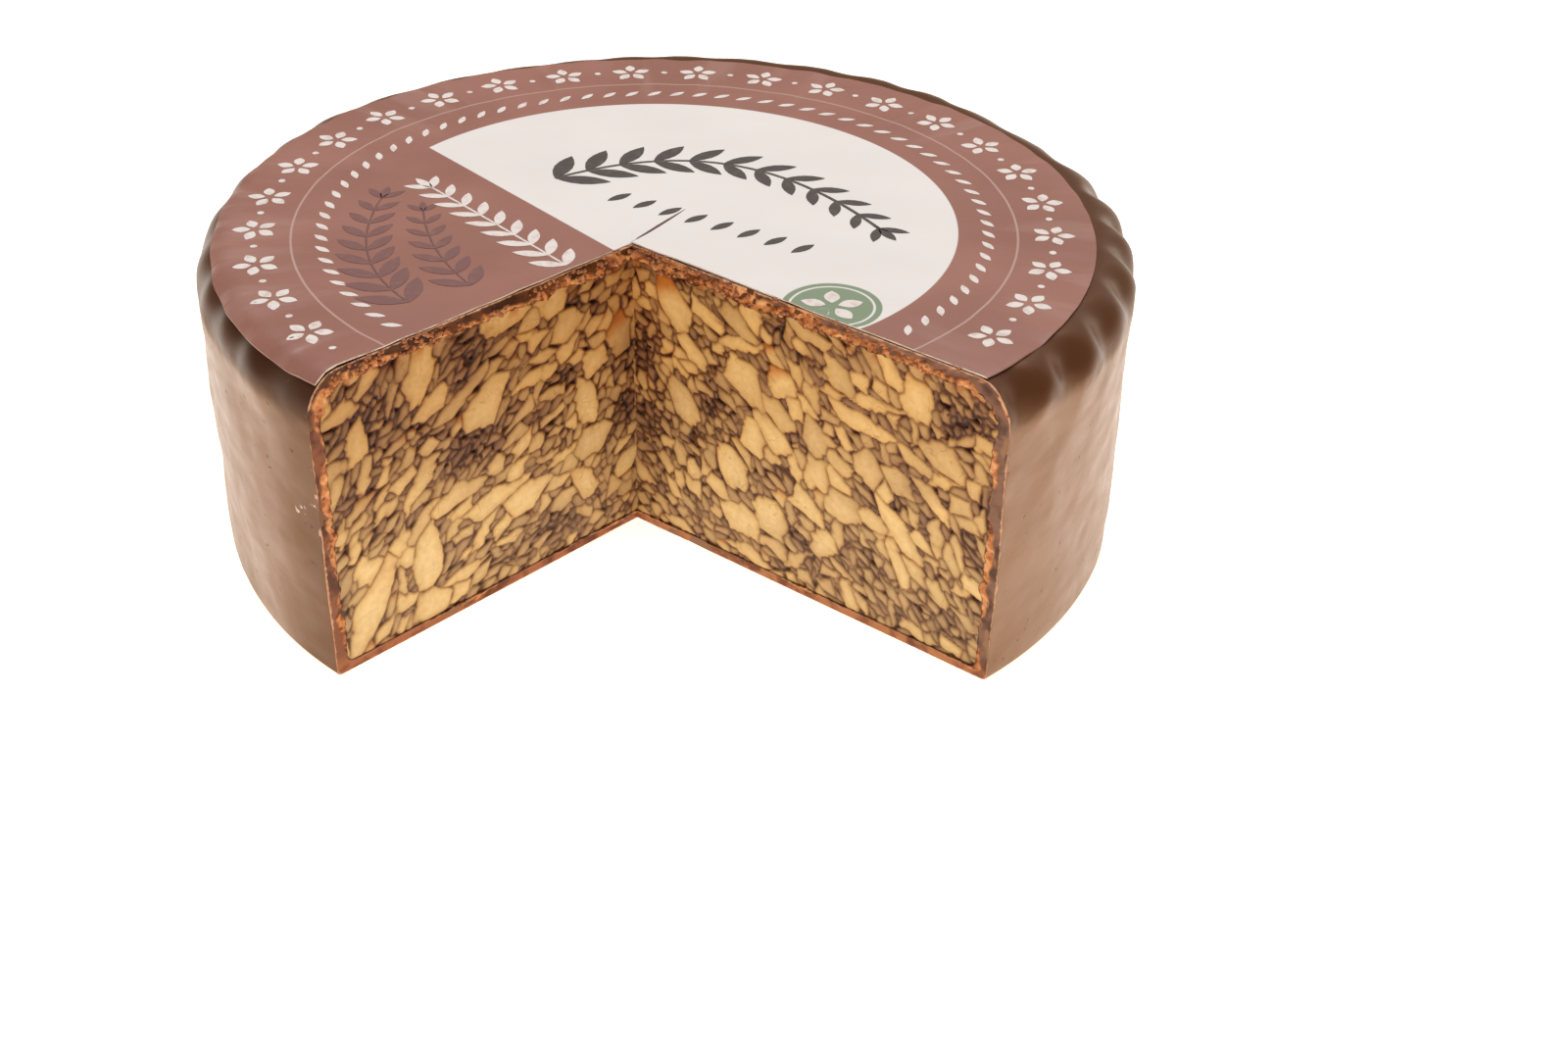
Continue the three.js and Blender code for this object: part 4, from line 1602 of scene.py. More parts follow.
@dataclass
class CurdMosaic:
    """The cut mosaic of one face: listed large curds, then smaller ones by a seeded rule.

    Each curd is a convex outline of four to seven flat sides. Where two press together the vein
    runs where both are equally deep, and what none of them covers is dark matrix.
    """

    curds: tuple[Curd, ...]
    crumble: tuple[Crumble, ...]
    seed: int
    reach: float
    height: float
    coarse: float = 0.4
    window: float = 3.5
    farthest: float = 1.2
    finest: float = 0.42
    half_widths: Pair = (0.9, 2.9)
    side_counts: tuple[int, ...] = (3, 4, 4, 4, 5, 5)
    large_side_counts: tuple[int, ...] = (4, 5, 5, 6, 6)
    large: float = 5.0
    blunt: float = 1.4
    lean_scatter_deg: float = 21.0
    lean_pull: float = 6.0
    side_scatter: float = 0.28
    tone_draw: Pair = (-0.1, 0.42)
    tone_widths: Pair = (1.0, 4.4)
    tone_gain: float = 0.8
    crumbled_tone: float = 0.34
    warp: Pair = (0.3, 0.09)
    pit: float = 0.34
    first_share: float = 0.8
    steepest: float = 1.5
    stained_share: float = 0.05
    shapes: list[CurdShape] = field(default_factory=list)

    def sides(self, curd: Curd, random: np.random.Generator) -> tuple[Array, Array]:
        """The flat sides of a curd.

        Args:
            curd: The curd.
            random: Where the draws come from.

        Returns:
            The sides' outward directions, and how far out each lies.
        """
        counts = self.large_side_counts if curd.width > self.large else self.side_counts
        count = int(random.choice(counts))
        scatter = random.uniform(-self.side_scatter, self.side_scatter, count)
        turn = (np.arange(count) + scatter) * 2 * math.pi / count
        blunt = np.arange(6) * math.pi / 3
        turn = np.concatenate([turn, blunt]) + random.uniform(0, 2 * math.pi)
        ways = np.stack([np.cos(turn) / curd.length, np.sin(turn) / curd.width], axis=1) * 2
        size = np.linalg.norm(ways, axis=1, keepdims=True)
        lean = math.radians(curd.lean_deg)
        onto_lean = np.array([[math.cos(lean), math.sin(lean)], [-math.sin(lean), math.cos(lean)]])
        share = random.uniform(0.84, 1.12, count) * (0.62 + 0.06 * count)
        away = np.concatenate([share, np.full(6, self.blunt)]) / size[:, 0]
        order = np.argsort(turn % (2 * math.pi))
        return (ways / size @ onto_lean)[order], away[order]

    def leans(self, along: float, height: float) -> float:
        """The way that the curds lean at a place, after the large ones near it.

        Args:
            along: Distance of the place from the wedge's point.
            height: Its height.

        Returns:
            The lean, in degrees.
        """
        pull = sum(
            np.exp(2j * math.radians(curd.lean_deg)) * curd.length
            / ((curd.along - along) ** 2 + (curd.height - height) ** 2 + self.lean_pull**2)
            for curd in self.curds
        )
        return math.degrees(np.angle(pull)) / 2

    def place(self, curd: Curd, random: np.random.Generator, nearest: Array, grid: tuple) -> None:
        """Adds a curd, and notes how near it comes to every place round it.

        Args:
            curd: The curd.
            random: Where the draws come from.
            nearest: Distance from each place of the grid to the nearest curd, brought up to date.
            grid: Distances from the wedge's point, and heights, of the places.
        """
        ways, away = self.sides(curd, random)
        gain = self.tone_gain * float(climb(*self.tone_widths, curd.width))
        paleness = random.uniform(*self.tone_draw) + gain
        tone = min(max(paleness, curd.stain), 1.0)
        centre = np.array([curd.along, curd.height])
        reach = self.blunt * curd.length / math.sqrt(3)
        turn = math.radians(random.uniform(60, 120) if curd.stain else random.uniform(0, 360))
        lit = math.cos(turn), math.sin(turn)
        shape = CurdShape(centre, reach, ways, away, tone, curd.stain, lit)
        self.shapes.append(shape)
        near = self.near(shape, self.window, *grid)
        nearest[near] = np.minimum(nearest[near], shape.gap(grid[0][near], grid[1][near]))

    @staticmethod
    def near(shape: CurdShape, margin: float, along: Array, height: Array) -> tuple[slice, slice]:
        """The part of a grid that lies near a curd.

        Args:
            shape: The curd.
            margin: How far out of it counts as near.
            along: The grid's distances from the wedge's point.
            height: Its heights.

        Returns:
            Its rows and its columns.
        """
        spread = shape.spread(margin) + 0.8
        rows = np.flatnonzero(np.abs(height - shape.centre[1]).min(axis=1) < spread)
        columns = np.flatnonzero(np.abs(along - shape.centre[0]).min(axis=0) < spread)
        if len(rows) == 0 or len(columns) == 0:
            return slice(0, 0), slice(0, 0)
        return slice(rows[0], rows[-1] + 1), slice(columns[0], columns[-1] + 1)

    def crumbled(self, along: Array, height: Array) -> Array:
        """How crumbled places are, from 0 to 1."""
        return np.clip(sum(patch.at(along, height) for patch in self.crumble), 0, 1)

    def fill(self) -> None:
        """Places the large curds, then ever smaller ones where there is most room."""
        random = np.random.default_rng(self.seed)
        columns = np.arange(-2, self.reach + 2, self.coarse)
        rows = np.arange(0, self.height, self.coarse)
        grid = np.meshgrid(columns, rows)
        nearest = np.full(grid[0].shape, self.window)
        coarseness = np.clip(0.75 + 0.4 * SoftNoise(self.seed, 10).at(*grid), 0.3, 1)
        coarseness *= 1 - 0.85 * self.crumbled(*grid)
        for curd in self.curds:
            self.place(curd, random, nearest, grid)
        while True:
            most = nearest.max()
            if most < self.finest:
                break
            spots = np.flatnonzero(nearest > self.first_share * most)
            spot = np.unravel_index(random.choice(spots), nearest.shape)
            along, height = float(grid[0][spot]), float(grid[1][spot])
            least, widest = self.half_widths
            limit = least + (widest - least) * coarseness[spot] * random.uniform(0.1, 1.0) ** self.steepest
            half = min(nearest[spot] * random.uniform(1.15, 1.9), limit)
            longest = 1.8 + 1.4 * float(climb(5, 35, along))
            length = 2 * half * random.uniform(1.2, longest)
            lean = self.leans(along, height) + self.lean_scatter_deg * random.normal()
            stain = float(random.uniform() < self.stained_share) * random.uniform(0.3, 0.9)
            self.place(Curd(along, height, length, 2 * half, lean, stain), random, nearest, grid)

    def measure(self, along: Array, height: Array) -> dict[str, Array]:
        """What the mosaic is like at places of the face.

        Args:
            along: Distances from the wedge's point.
            height: Heights, of the same shape.

        Returns:
            Depth inside the nearest curd, and that curd's tone and stain, at each place.
        """
        def noise(step: int, cell: float) -> Array:
            """Noise of its own at each place."""
            return SoftNoise(self.seed + step, cell).at(along, height)

        large, small = self.warp
        x = along + large * noise(1, 4.5) + small * noise(2, 1.3)
        y = height + large * noise(3, 4.5) + small * noise(4, 1.3)
        first, second = np.full(along.shape, self.farthest), np.full(along.shape, self.farthest)
        tone, stain = np.full(along.shape, 0.2), np.zeros(along.shape)
        for shape in self.shapes:
            near = self.near(shape, self.farthest, along, height)
            gap = shape.gap(x[near], y[near])
            closer = gap < first[near]
            second[near] = np.where(closer, first[near], np.minimum(second[near], gap))
            first[near] = np.where(closer, gap, first[near])
            side = shape.side(x[near], y[near])
            tone[near] = np.where(closer, shape.tone + 0.1 * side, tone[near])
            stain[near] = np.where(closer, shape.stain * climb(0.0, 0.8, side), stain[near])
        depth = np.minimum((second - first) / 2, -first)
        crumbled = self.crumbled(along, height)
        tone = np.clip(tone - self.crumbled_tone * crumbled, 0, 1)
        vein = 0.2 * (1 - tone) * climb(-0.8, 0.6, noise(5, 5))
        vein += 0.12 * climb(0.15, 0.7, noise(8, 2.4))
        faint = 0.17 * climb(0.0, 0.6, noise(6, 2.2)) * (1 - crumbled)
        depth = depth - vein + faint
        # Pits are sunk and go to the darkest tints: painted shade in the holes.
        pitted = climb(0.5, 0.8, noise(7, 1.1))
        pitted = pitted * climb(0.3, 0.7, crumbled) * (1 - climb(0.3, 0.6, tone))
        depth = depth * (1 - pitted) - self.pit * pitted
        return {"depth": depth, "tone": tone, "stain": stain}


@dataclass
class CheeseFace:
    """One cut face of the cheese, with its mosaic of curds as low relief."""

    cut: Cut
    curds: tuple[Curd, ...]
    crumble: tuple[Crumble, ...]
    finish: CutCheese
    seed: int
    step: float = 0.26
    room: float = 0.12
    depth: float = 1.5
    behind: float = 0.08
    vein_sink: float = 0.22
    pit_sink: float = 0.9
    past: float = 0.7
    cut_marks: float = 0.08
    edge_depth: float = -0.2
    edge_tone: float = 0.4

    def grid(self) -> tuple[Array, Array]:
        """The places on the face.

        Returns:
            Their distances from the wedge's point, and their heights.
        """
        turn = np.array([self.cut.turn])
        outline = WHEEL.sections(turn, WHEEL.inner_profile(self.room), waves=False)[0]
        reach = np.linalg.norm(outline[:, :2] - np.array(WHEEL.point), axis=1)
        low, high = outline[0, 2], outline[-1, 2]
        rim = slice(int(np.argmax(reach > 0)) + 13, len(reach) - 26)
        rows = np.linspace(low, high, round((high - low) / self.step))
        widths = np.interp(rows, outline[rim, 2], reach[rim])
        columns = np.linspace(0, 1, round(reach.max() / self.step))
        along = (widths[:, None] + self.past) * columns[None, :] - self.past
        height = np.broadcast_to(rows[:, None], along.shape).copy()
        x, y = (WHEEL.point[i] + along * self.cut.along[i] for i in range(2))
        height -= WHEEL.core_drop(x, y, height)
        return along, height

    def build(self) -> Piece:
        """Fills the mosaic and lays the face as a plate with sunken veins.

        Returns:
            The face.
        """
        along, height = self.grid()
        mosaic = CurdMosaic(self.curds, self.crumble, self.seed, along.max(), WHEEL.height)
        mosaic.fill()
        values = mosaic.measure(along, height)
        base = np.array([*WHEEL.point, 0.0]) + along[..., None] * self.cut.along
        base[..., 2] = height
        veins = 1 - climb(-0.15, 0.45, values["depth"])
        pits = climb(0.1, 0.8, -values["depth"])
        cuts = 0.5 + 0.5 * SoftNoise(self.seed + 9, 3).at(along, height)
        relief = -self.behind - self.vein_sink * veins - self.pit_sink * pits - self.cut_marks * cuts
        plate = slab(base, relief, self.cut.outward, self.depth)
        edge = len(plate.points) - relief.size
        for key, value in values.items():
            aside = self.edge_depth if key == "depth" else self.edge_tone
            plate.values[key] = np.concatenate([value.ravel(), np.full(edge, aside)])
        face = plate.build(f"cheese_face_{self.cut.name.lower()}", sharp_deg=60)
        dress(face, self.finish)
        LOG.info("%s: %d curds", face.name, len(mosaic.shapes))
        return hand_over(face, "cheese", "cheese")


@dataclass
class CheeseBody:
    """The body of the cheese behind its two cut faces."""

    steps: int = 120
    shrink: float = 0.35
    behind: float = 1.3

    def build(self) -> Piece:
        """Sweeps the cheese's section round a point a little behind the wedge's.

        Returns:
            The body.
        """
        wheel = WHEEL.receded(self.behind)
        body = swept(wheel.inner_sections(wheel.turns(self.steps), -self.shrink)).build("cheese_body")
        dress(body, CUT_CHEESE)
        return hand_over(body, "cheese", "cheese")


@dataclass
class Label:
    """The round film on top, turned down over the shoulder where it reaches it."""

    steps: int = 560
    thickness: float = 0.3
    lift: float = 0.06
    ripple: float = 0.28
    curl: float = 0.22
    curl_reach: float = 3.0
    follows: Pair = (0.3, 1.0)
    folds: tuple[tuple[int, float], ...] = ((17, 0.4), (29, 2.1), (43, 4.0), (61, 1.2))
    fold_slant: float = 0.02
    folds_reach: Pair = (66.0, 92.0)
    rings: tuple[int, int, int] = (16, 40, 30)
    even_share: float = 0.7

    def surface(self, turns: Array, shares: Array) -> tuple[Array, Array]:
        """Points of the film's underside.

        Args:
            turns: Plan angles round the wedge's point.
            shares: Shares of the way from there to the label's rim.

        Returns:
            The points, by angle and share, and how much of the skin's pressing each one takes.
        """
        reach = WHEEL.reach(turns, LABEL.radius, LABEL.centre)[:, None] * shares[None, :]
        x = WHEEL.point[0] + reach * np.cos(turns)[:, None]
        y = WHEEL.point[1] + reach * np.sin(turns)[:, None]
        out = np.hypot(x - LABEL.centre[0], y - LABEL.centre[1])
        angle = np.arctan2(y - LABEL.centre[1], x - LABEL.centre[0])
        folds = sum(np.sin(count * angle + phase + self.fold_slant * out) for count, phase in self.folds)
        ripple = self.ripple * (0.5 + 0.25 * folds) * climb(*self.folds_reach, out)
        to_cut = np.minimum(turns - turns[0], turns[-1] - turns)[:, None] * reach
        lift = SoftNoise(12, 6).at(reach, np.sign(turns - turns.mean())[:, None] * 40 + 0 * reach)
        curl = self.curl * np.clip(0.3 + lift, 0, 1) * (1 - climb(0, self.curl_reach, to_cut))
        height = WHEEL.height - WHEEL.top_drop(x, y) + self.lift + ripple + curl
        least, most = self.follows
        follows = least + (most - least) * climb(0.5, 1.5, WHEEL.top_drop(x, y))
        return np.stack([x, y, height], axis=-1), follows

    def build(self) -> Piece:
        """Sweeps the film round the wedge's point, with a pale edge along both cuts.

        Returns:
            The label.
        """
        turns = WHEEL.turns(self.steps)
        coarse, fine, below = self.rings
        inner = np.linspace(0, self.even_share, coarse, endpoint=False)
        outer = np.linspace(self.even_share, 1, fine)
        over, skin = self.surface(turns, np.concatenate([inner, outer]))
        under, skin_under = self.surface(turns, np.linspace(1, 0, below))
        over[..., 2] += self.thickness
        loops = np.concatenate([over, under], axis=1)
        values = {"skin": np.concatenate([skin, skin_under], axis=1)}
        draft = swept(loops, cap_slot=1, values=values)
        label = draft.build("label")
        slots = np.zeros(len(label.data.polygons), dtype=np.int32)
        label.data.polygons.foreach_get("material_index", slots)
        SCALLOPS.apply(label, PRINTED_FILM)
        dress(label, PRINTED_FILM, PAPER_EDGE)
        label.data.polygons.foreach_set("material_index", slots)
        return hand_over(label, "label", "label")


class Motif(Enum):
    """The shapes that the label's print is made of."""

    DOT = "dot"
    LEAF = "leaf"
    ROSETTE = "rosette"

    def flat(self, draft: NodeDraft) -> Flow:
        """The shape, one high and wide, lying flat round the origin with its top to Y.

        Args:
            draft: The tree.

        Returns:
            The shape's faces.
        """
        if self is Motif.DOT:
            return self.disc(draft, 0.5, 12)
        if self is Motif.LEAF:
            return self.blade(draft, 1.0, 0.36, 90.0, (0.0, -0.5, 0.0))
        petals = []
        for turn in range(18, 378, 72):
            foot = (0.1 * math.cos(math.radians(turn)), 0.1 * math.sin(math.radians(turn)), 0.0)
            petals.append(self.blade(draft, 0.4, 0.25, turn, foot))
        return draft.join(*petals)

    @staticmethod
    def disc(draft: NodeDraft, radius: float, corners: int) -> Flow:
        """A round face."""
        inputs = {"Vertices": corners, "Radius": radius}
        return draft.out("GeometryNodeMeshCircle", inputs, fill_type="NGON")

    @staticmethod
    def blade(
        draft: NodeDraft, length: object, width: object, turn_deg: float = 0.0,
        foot: tuple[float, ...] = (0.0, 0.0, 0.0),
    ) -> Flow:
        """A leaf with a point at each end.

        Args:
            draft: The tree.
            length: From foot to tip.
            width: Across its middle.
            turn_deg: The way it points, from X.
            foot: Where its foot is.

        Returns:
            The leaf's one face.
        """
        x, y, _ = draft.out("GeometryNodeInputPosition").xyz()
        place = draft.vector((x * 0.5 + 0.5) * length, y * abs(y) * width * 0.5)
        disc = Motif.disc(draft, 1.0, 16)
        leaf = draft.out("GeometryNodeSetPosition", {"Geometry": disc, "Position": place})
        inputs = {"Geometry": leaf, "Translation": foot, "Rotation": (0.0, 0.0, math.radians(turn_deg))}
        return draft.out("GeometryNodeTransform", inputs)


@dataclass
class Print(Rule):
    """Printed motifs: laid out flat over the label's middle, draped on its film, a hair thick."""

    name: str
    film: Piece
    ink: Finish
    lift: float = 0.02
    body: float = 0.04
    ray: float = 30.0
    lengths = ("lift", "body")
    plain = ("film",)
    spots: ClassVar[tuple[str, ...]] = ()

    def sizes(self) -> dict[str, object]:
        """The named inputs, the print's spots among them."""
        return {**super().sizes(), **{key: self.spot(*getattr(self, key)) for key in self.spots}}

    @staticmethod
    def spot(x: float, y: float) -> Triple:
        """A spot given from the label's middle in millimetres, as a place in metres."""
        return tuple(PLACE.metres((LABEL.centre[0] + x, LABEL.centre[1] + y, WHEEL.height)).tolist())

    def motifs(self, draft: NodeDraft, given: dict[str, Flow]) -> Flow:
        """The motifs, laid out flat at the height of the wheel's top. Each print has its own."""
        raise NotImplementedError

    def grow(self, draft: NodeDraft, given: dict[str, Flow]) -> Flow:
        """Drapes the motifs on the film and gives them their thickness.

        Args:
            draft: The tree.
            given: The named inputs.

        Returns:
            The print.
        """
        flat = draft.out("GeometryNodeRealizeInstances", {"Geometry": self.motifs(draft, given)})
        facing = draft.out("GeometryNodeInputNormal").xyz()[2]
        down = draft.out("FunctionNodeCompare", {0: facing, 1: 0.0}, operation="LESS_THAN")
        upward = draft.out("GeometryNodeFlipFaces", {"Mesh": flat, "Selection": down})
        place = draft.out("GeometryNodeInputPosition")
        ray = {
            "Target Geometry": draft.out(
                "GeometryNodeObjectInfo", {"Object": given["film"]}, "Geometry", transform_space="RELATIVE"
            ),
            "Source Position": place + (0.0, 0.0, self.ray * MM),
            "Ray Direction": (0.0, 0.0, -1.0),
            "Ray Length": 2 * self.ray * MM,
        }
        over = place.xyz()[2] - WHEEL.height * MM + given["lift"]
        above = draft.out("GeometryNodeRaycast", ray, "Hit Position") + draft.vector(z=over)
        under = draft.out("GeometryNodeSetPosition", {"Geometry": upward, "Position": above})
        inputs = {"Mesh": under, "Offset Scale": given["body"], "Individual": False}
        top = draft.out("GeometryNodeExtrudeMesh", inputs)
        base = draft.out("GeometryNodeFlipFaces", {"Mesh": under})
        inputs = {"Geometry": draft.join(top, base), "Distance": MM / 1000}
        return draft.out("GeometryNodeMergeByDistance", inputs)

    def build(self) -> Piece:
        """Prints it."""
        piece = self.apply(link(self.name, bpy.data.meshes.new(self.name)), self.ink)
        return hand_over(piece, "label")


@dataclass
class Ring(Print):
    """One motif all round the label, as far as both cuts."""

    motif: Motif = Motif.DOT
    radius: float = 84.0
    count: int = 24
    size: float = 9.0
    lean_deg: float = 0.0
    margin: float = 6.0
    offset: float = 0.0
    middle: Pair = (0.0, 0.0)
    lengths = (*Print.lengths, "radius", "size")
    angles = ("lean_deg",)
    plain = (*Print.plain, "count")
    spots = ("middle",)

    def sizes(self) -> dict[str, object]:
        """The named inputs, with the first angle and the step between two.

        Returns:
            Their values by name, in metres and radians.
        """
        first, last = LABEL.free_arc(self.radius, self.margin)
        step = (last - first) / self.count
        return {**super().sizes(), "first": first + step * (0.5 + self.offset), "step": step}

    def motifs(self, draft: NodeDraft, given: dict[str, Flow]) -> Flow:
        """The motif on points by angle.

        Args:
            draft: The tree.
            given: The named inputs.

        Returns:
            The ring of motifs.
        """
        angle = draft.out("GeometryNodeInputIndex") * given["step"] + given["first"]
        way = draft.vector(angle.do("COSINE"), angle.do("SINE"))
        place = given["middle"] + way * given["radius"]
        points = draft.out("GeometryNodePoints", {"Count": given["count"], "Position": place})
        turn = angle - math.pi / 2 + given["lean"]
        return draft.scatter(points, self.motif.flat(draft), turn, given["size"])


@dataclass
class Row(Print):
    """One motif in a straight row, square to it or leaning."""

    motif: Motif = Motif.DOT
    start: Pair = (0.0, 0.0)
    end: Pair = (10.0, 0.0)
    count: int = 5
    size: float = 4.0
    lean_deg: float = 0.0
    lengths = (*Print.lengths, "size")
    plain = (*Print.plain, "count")
    spots = ("start", "end")

    def sizes(self) -> dict[str, object]:
        """The named inputs, with the turn of each motif."""
        along = math.atan2(self.end[1] - self.start[1], self.end[0] - self.start[0])
        return {**super().sizes(), "turn": along + math.radians(self.lean_deg)}

    def motifs(self, draft: NodeDraft, given: dict[str, Flow]) -> Flow:
        """The motif on points by share of the way.

        Args:
            draft: The tree.
            given: The named inputs.

        Returns:
            The row of motifs.
        """
        share = draft.out("GeometryNodeInputIndex") / (given["count"] - 1.0).do("MAXIMUM", 1.0)
        place = given["start"] + (given["end"] - given["start"]) * share
        points = draft.out("GeometryNodePoints", {"Count": given["count"], "Position": place})
        return draft.scatter(points, self.motif.flat(draft), given["turn"], given["size"])


@dataclass
class Sprig(Print):
    """A bent stem with leaves in pairs that get smaller to its tip."""

    start: Pair = (0.0, 0.0)
    bend: Pair = (10.0, 10.0)
    end: Pair = (20.0, 0.0)
    pairs: int = 8
    leaf: float = 8.0
    stem: float = 0.5
    lean_deg: float = 42.0
    taper: float = 0.45
    lengths = (*Print.lengths, "leaf", "stem")
    angles = ("lean_deg",)
    plain = (*Print.plain, "pairs", "taper")
    spots = ("start", "bend", "end")

    def motifs(self, draft: NodeDraft, given: dict[str, Flow]) -> Flow:
        """The stem as a ribbon, and a leaf to each side of every point on it.

        Args:
            draft: The tree.
            given: The named inputs.

        Returns:
            The sprig.
        """
        inputs = {"Resolution": 28, "Start": given["start"], "Middle": given["bend"], "End": given["end"]}
        curve = draft.out("GeometryNodeCurveQuadraticBezier", inputs)
        level = draft.out("GeometryNodeSetCurveNormal", {"Curve": curve}, mode="Z_UP")
        half = given["stem"] / 2.0
        sides = {"Start": draft.vector(half * -1.0), "End": draft.vector(half)}
        ribbon = draft.out("GeometryNodeCurvePrimitiveLine", sides)
        stem = draft.out("GeometryNodeCurveToMesh", {"Curve": level, "Profile Curve": ribbon})
        inputs = {"Curve": level, "Count": given["pairs"]}
        stations = draft.add("GeometryNodeCurveToPoints", inputs, mode="COUNT")
        points, tangent = (Flow(draft, stations.outputs[key]) for key in ("Points", "Tangent"))
        x, y, _ = tangent.xyz()
        along = y.do("ARCTAN2", x)
        share = draft.out("GeometryNodeInputIndex") / (given["pairs"] - 1.0)
        size = given["leaf"] * (1.0 - share * given["taper"])
        blade = Motif.blade(draft, 1.0, 0.34, foot=(0.0, 0.0, 0.002))
        tip = draft.out("FunctionNodeCompare", {0: share, 1: 0.999}, operation="GREATER_THAN")
        leaves = [
            draft.scatter(points, blade, given["lean"] * side + along, size, chosen)
            for side, chosen in ((-1.0, True), (1.0, True), (0.0, tip))
        ]
        return draft.join(stem, *leaves)


@dataclass
class Nick(Print):
    """A thin cut that the knife left in the film past the wedge's point."""

    start: Pair = (-4.9, -12.7)
    end: Pair = (5.7, 4.9)
    width: float = 0.7
    lengths = (*Print.lengths, "width")
    spots = ("start",)

    def sizes(self) -> dict[str, object]:
        """The named inputs, with the cut's length and the way it runs."""
        x, y = (self.end[i] - self.start[i] for i in range(2))
        return {**super().sizes(), "length": math.hypot(x, y) * MM, "turn": math.atan2(y, x)}

    def motifs(self, draft: NodeDraft, given: dict[str, Flow]) -> Flow:
        """One thin blade.

        Args:
            draft: The tree.
            given: The named inputs.

        Returns:
            The blade.
        """
        blade = Motif.blade(draft, given["length"], given["width"])
        turn = draft.vector(z=given["turn"])
        inputs = {"Geometry": blade, "Translation": given["start"], "Rotation": turn}
        return draft.out("GeometryNodeTransform", inputs)


@dataclass
class Crumbs(Rule):
    """Crumbs on the torn front of a piece, between two heights, scattered by a seeded rule.

    The density is their number to the square metre, and smallest and largest are half widths.
    """

    name: str
    facing: Triple
    seed: int = 5
    density: float = 1.5e6
    lowest: float = 61.0
    highest: float = 67.6
    clump: float = 5.0
    lumpiness: float = 0.9
    smallest: float = 0.12
    largest: float = 0.6
    lengths = ("lowest", "highest", "smallest", "largest")
    plain = ("facing", "seed", "density")

    def grow(self, draft: NodeDraft, given: dict[str, Flow]) -> Flow:
        """Lumpy balls on random places of the faces that face the cut.

        Args:
            draft: The tree.
            given: The named inputs, with the piece that they lie on.

        Returns:
            The crumbs alone.
        """
        place = draft.out("GeometryNodeInputPosition")
        normal = draft.out("GeometryNodeInputNormal")
        front = normal.do("DOT_PRODUCT", given["facing"]).slope(0.55, 0.75)
        clumps = place.noise(self.clump, 1.0, seed=2.0).climb(0.42, 0.62)
        band = place.xyz()[2].climb(given["lowest"], given["highest"]) * clumps
        density = front * band * given["density"]
        inputs = {"Mesh": given["Geometry"], "Density": density, "Seed": given["seed"]}
        points = draft.out("GeometryNodeDistributePointsOnFaces", inputs, "Points")
        ball = draft.out("GeometryNodeMeshIcoSphere", {"Radius": 1.0, "Subdivisions": 2})
        lumps = draft.out("ShaderNodeTexNoise", {"Vector": place, "Scale": 1.3, "Detail": 1.0})
        swell = lumps * self.lumpiness - self.lumpiness / 2
        inputs = {"Geometry": ball, "Offset": place * swell}
        lump = draft.out("GeometryNodeSetPosition", inputs)
        ways = {0: (0.0, 0.0, 0.0), 1: (6.3, 6.3, 6.3)}
        turn = draft.out("FunctionNodeRandomValue", ways, data_type="FLOAT_VECTOR")
        inputs = {2: given["smallest"], 3: given["largest"], "Seed": given["seed"]}
        size = draft.out("FunctionNodeRandomValue", inputs, 1, data_type="FLOAT")
        inputs = {"Points": points, "Instance": lump, "Rotation": turn, "Scale": size}
        return draft.out("GeometryNodeInstanceOnPoints", inputs)

    def build(self, on: Piece, finish: Finish) -> Piece:
        """Scatters them on a finished piece.

        Args:
            on: The piece.
            finish: What the crumbs are made of.

        Returns:
            The crumbs, as a piece of their own.
        """
        piece = self.apply(link(self.name, on.data.copy()), finish)
        piece.data.shade_smooth()
        return hand_over(piece, "wax")


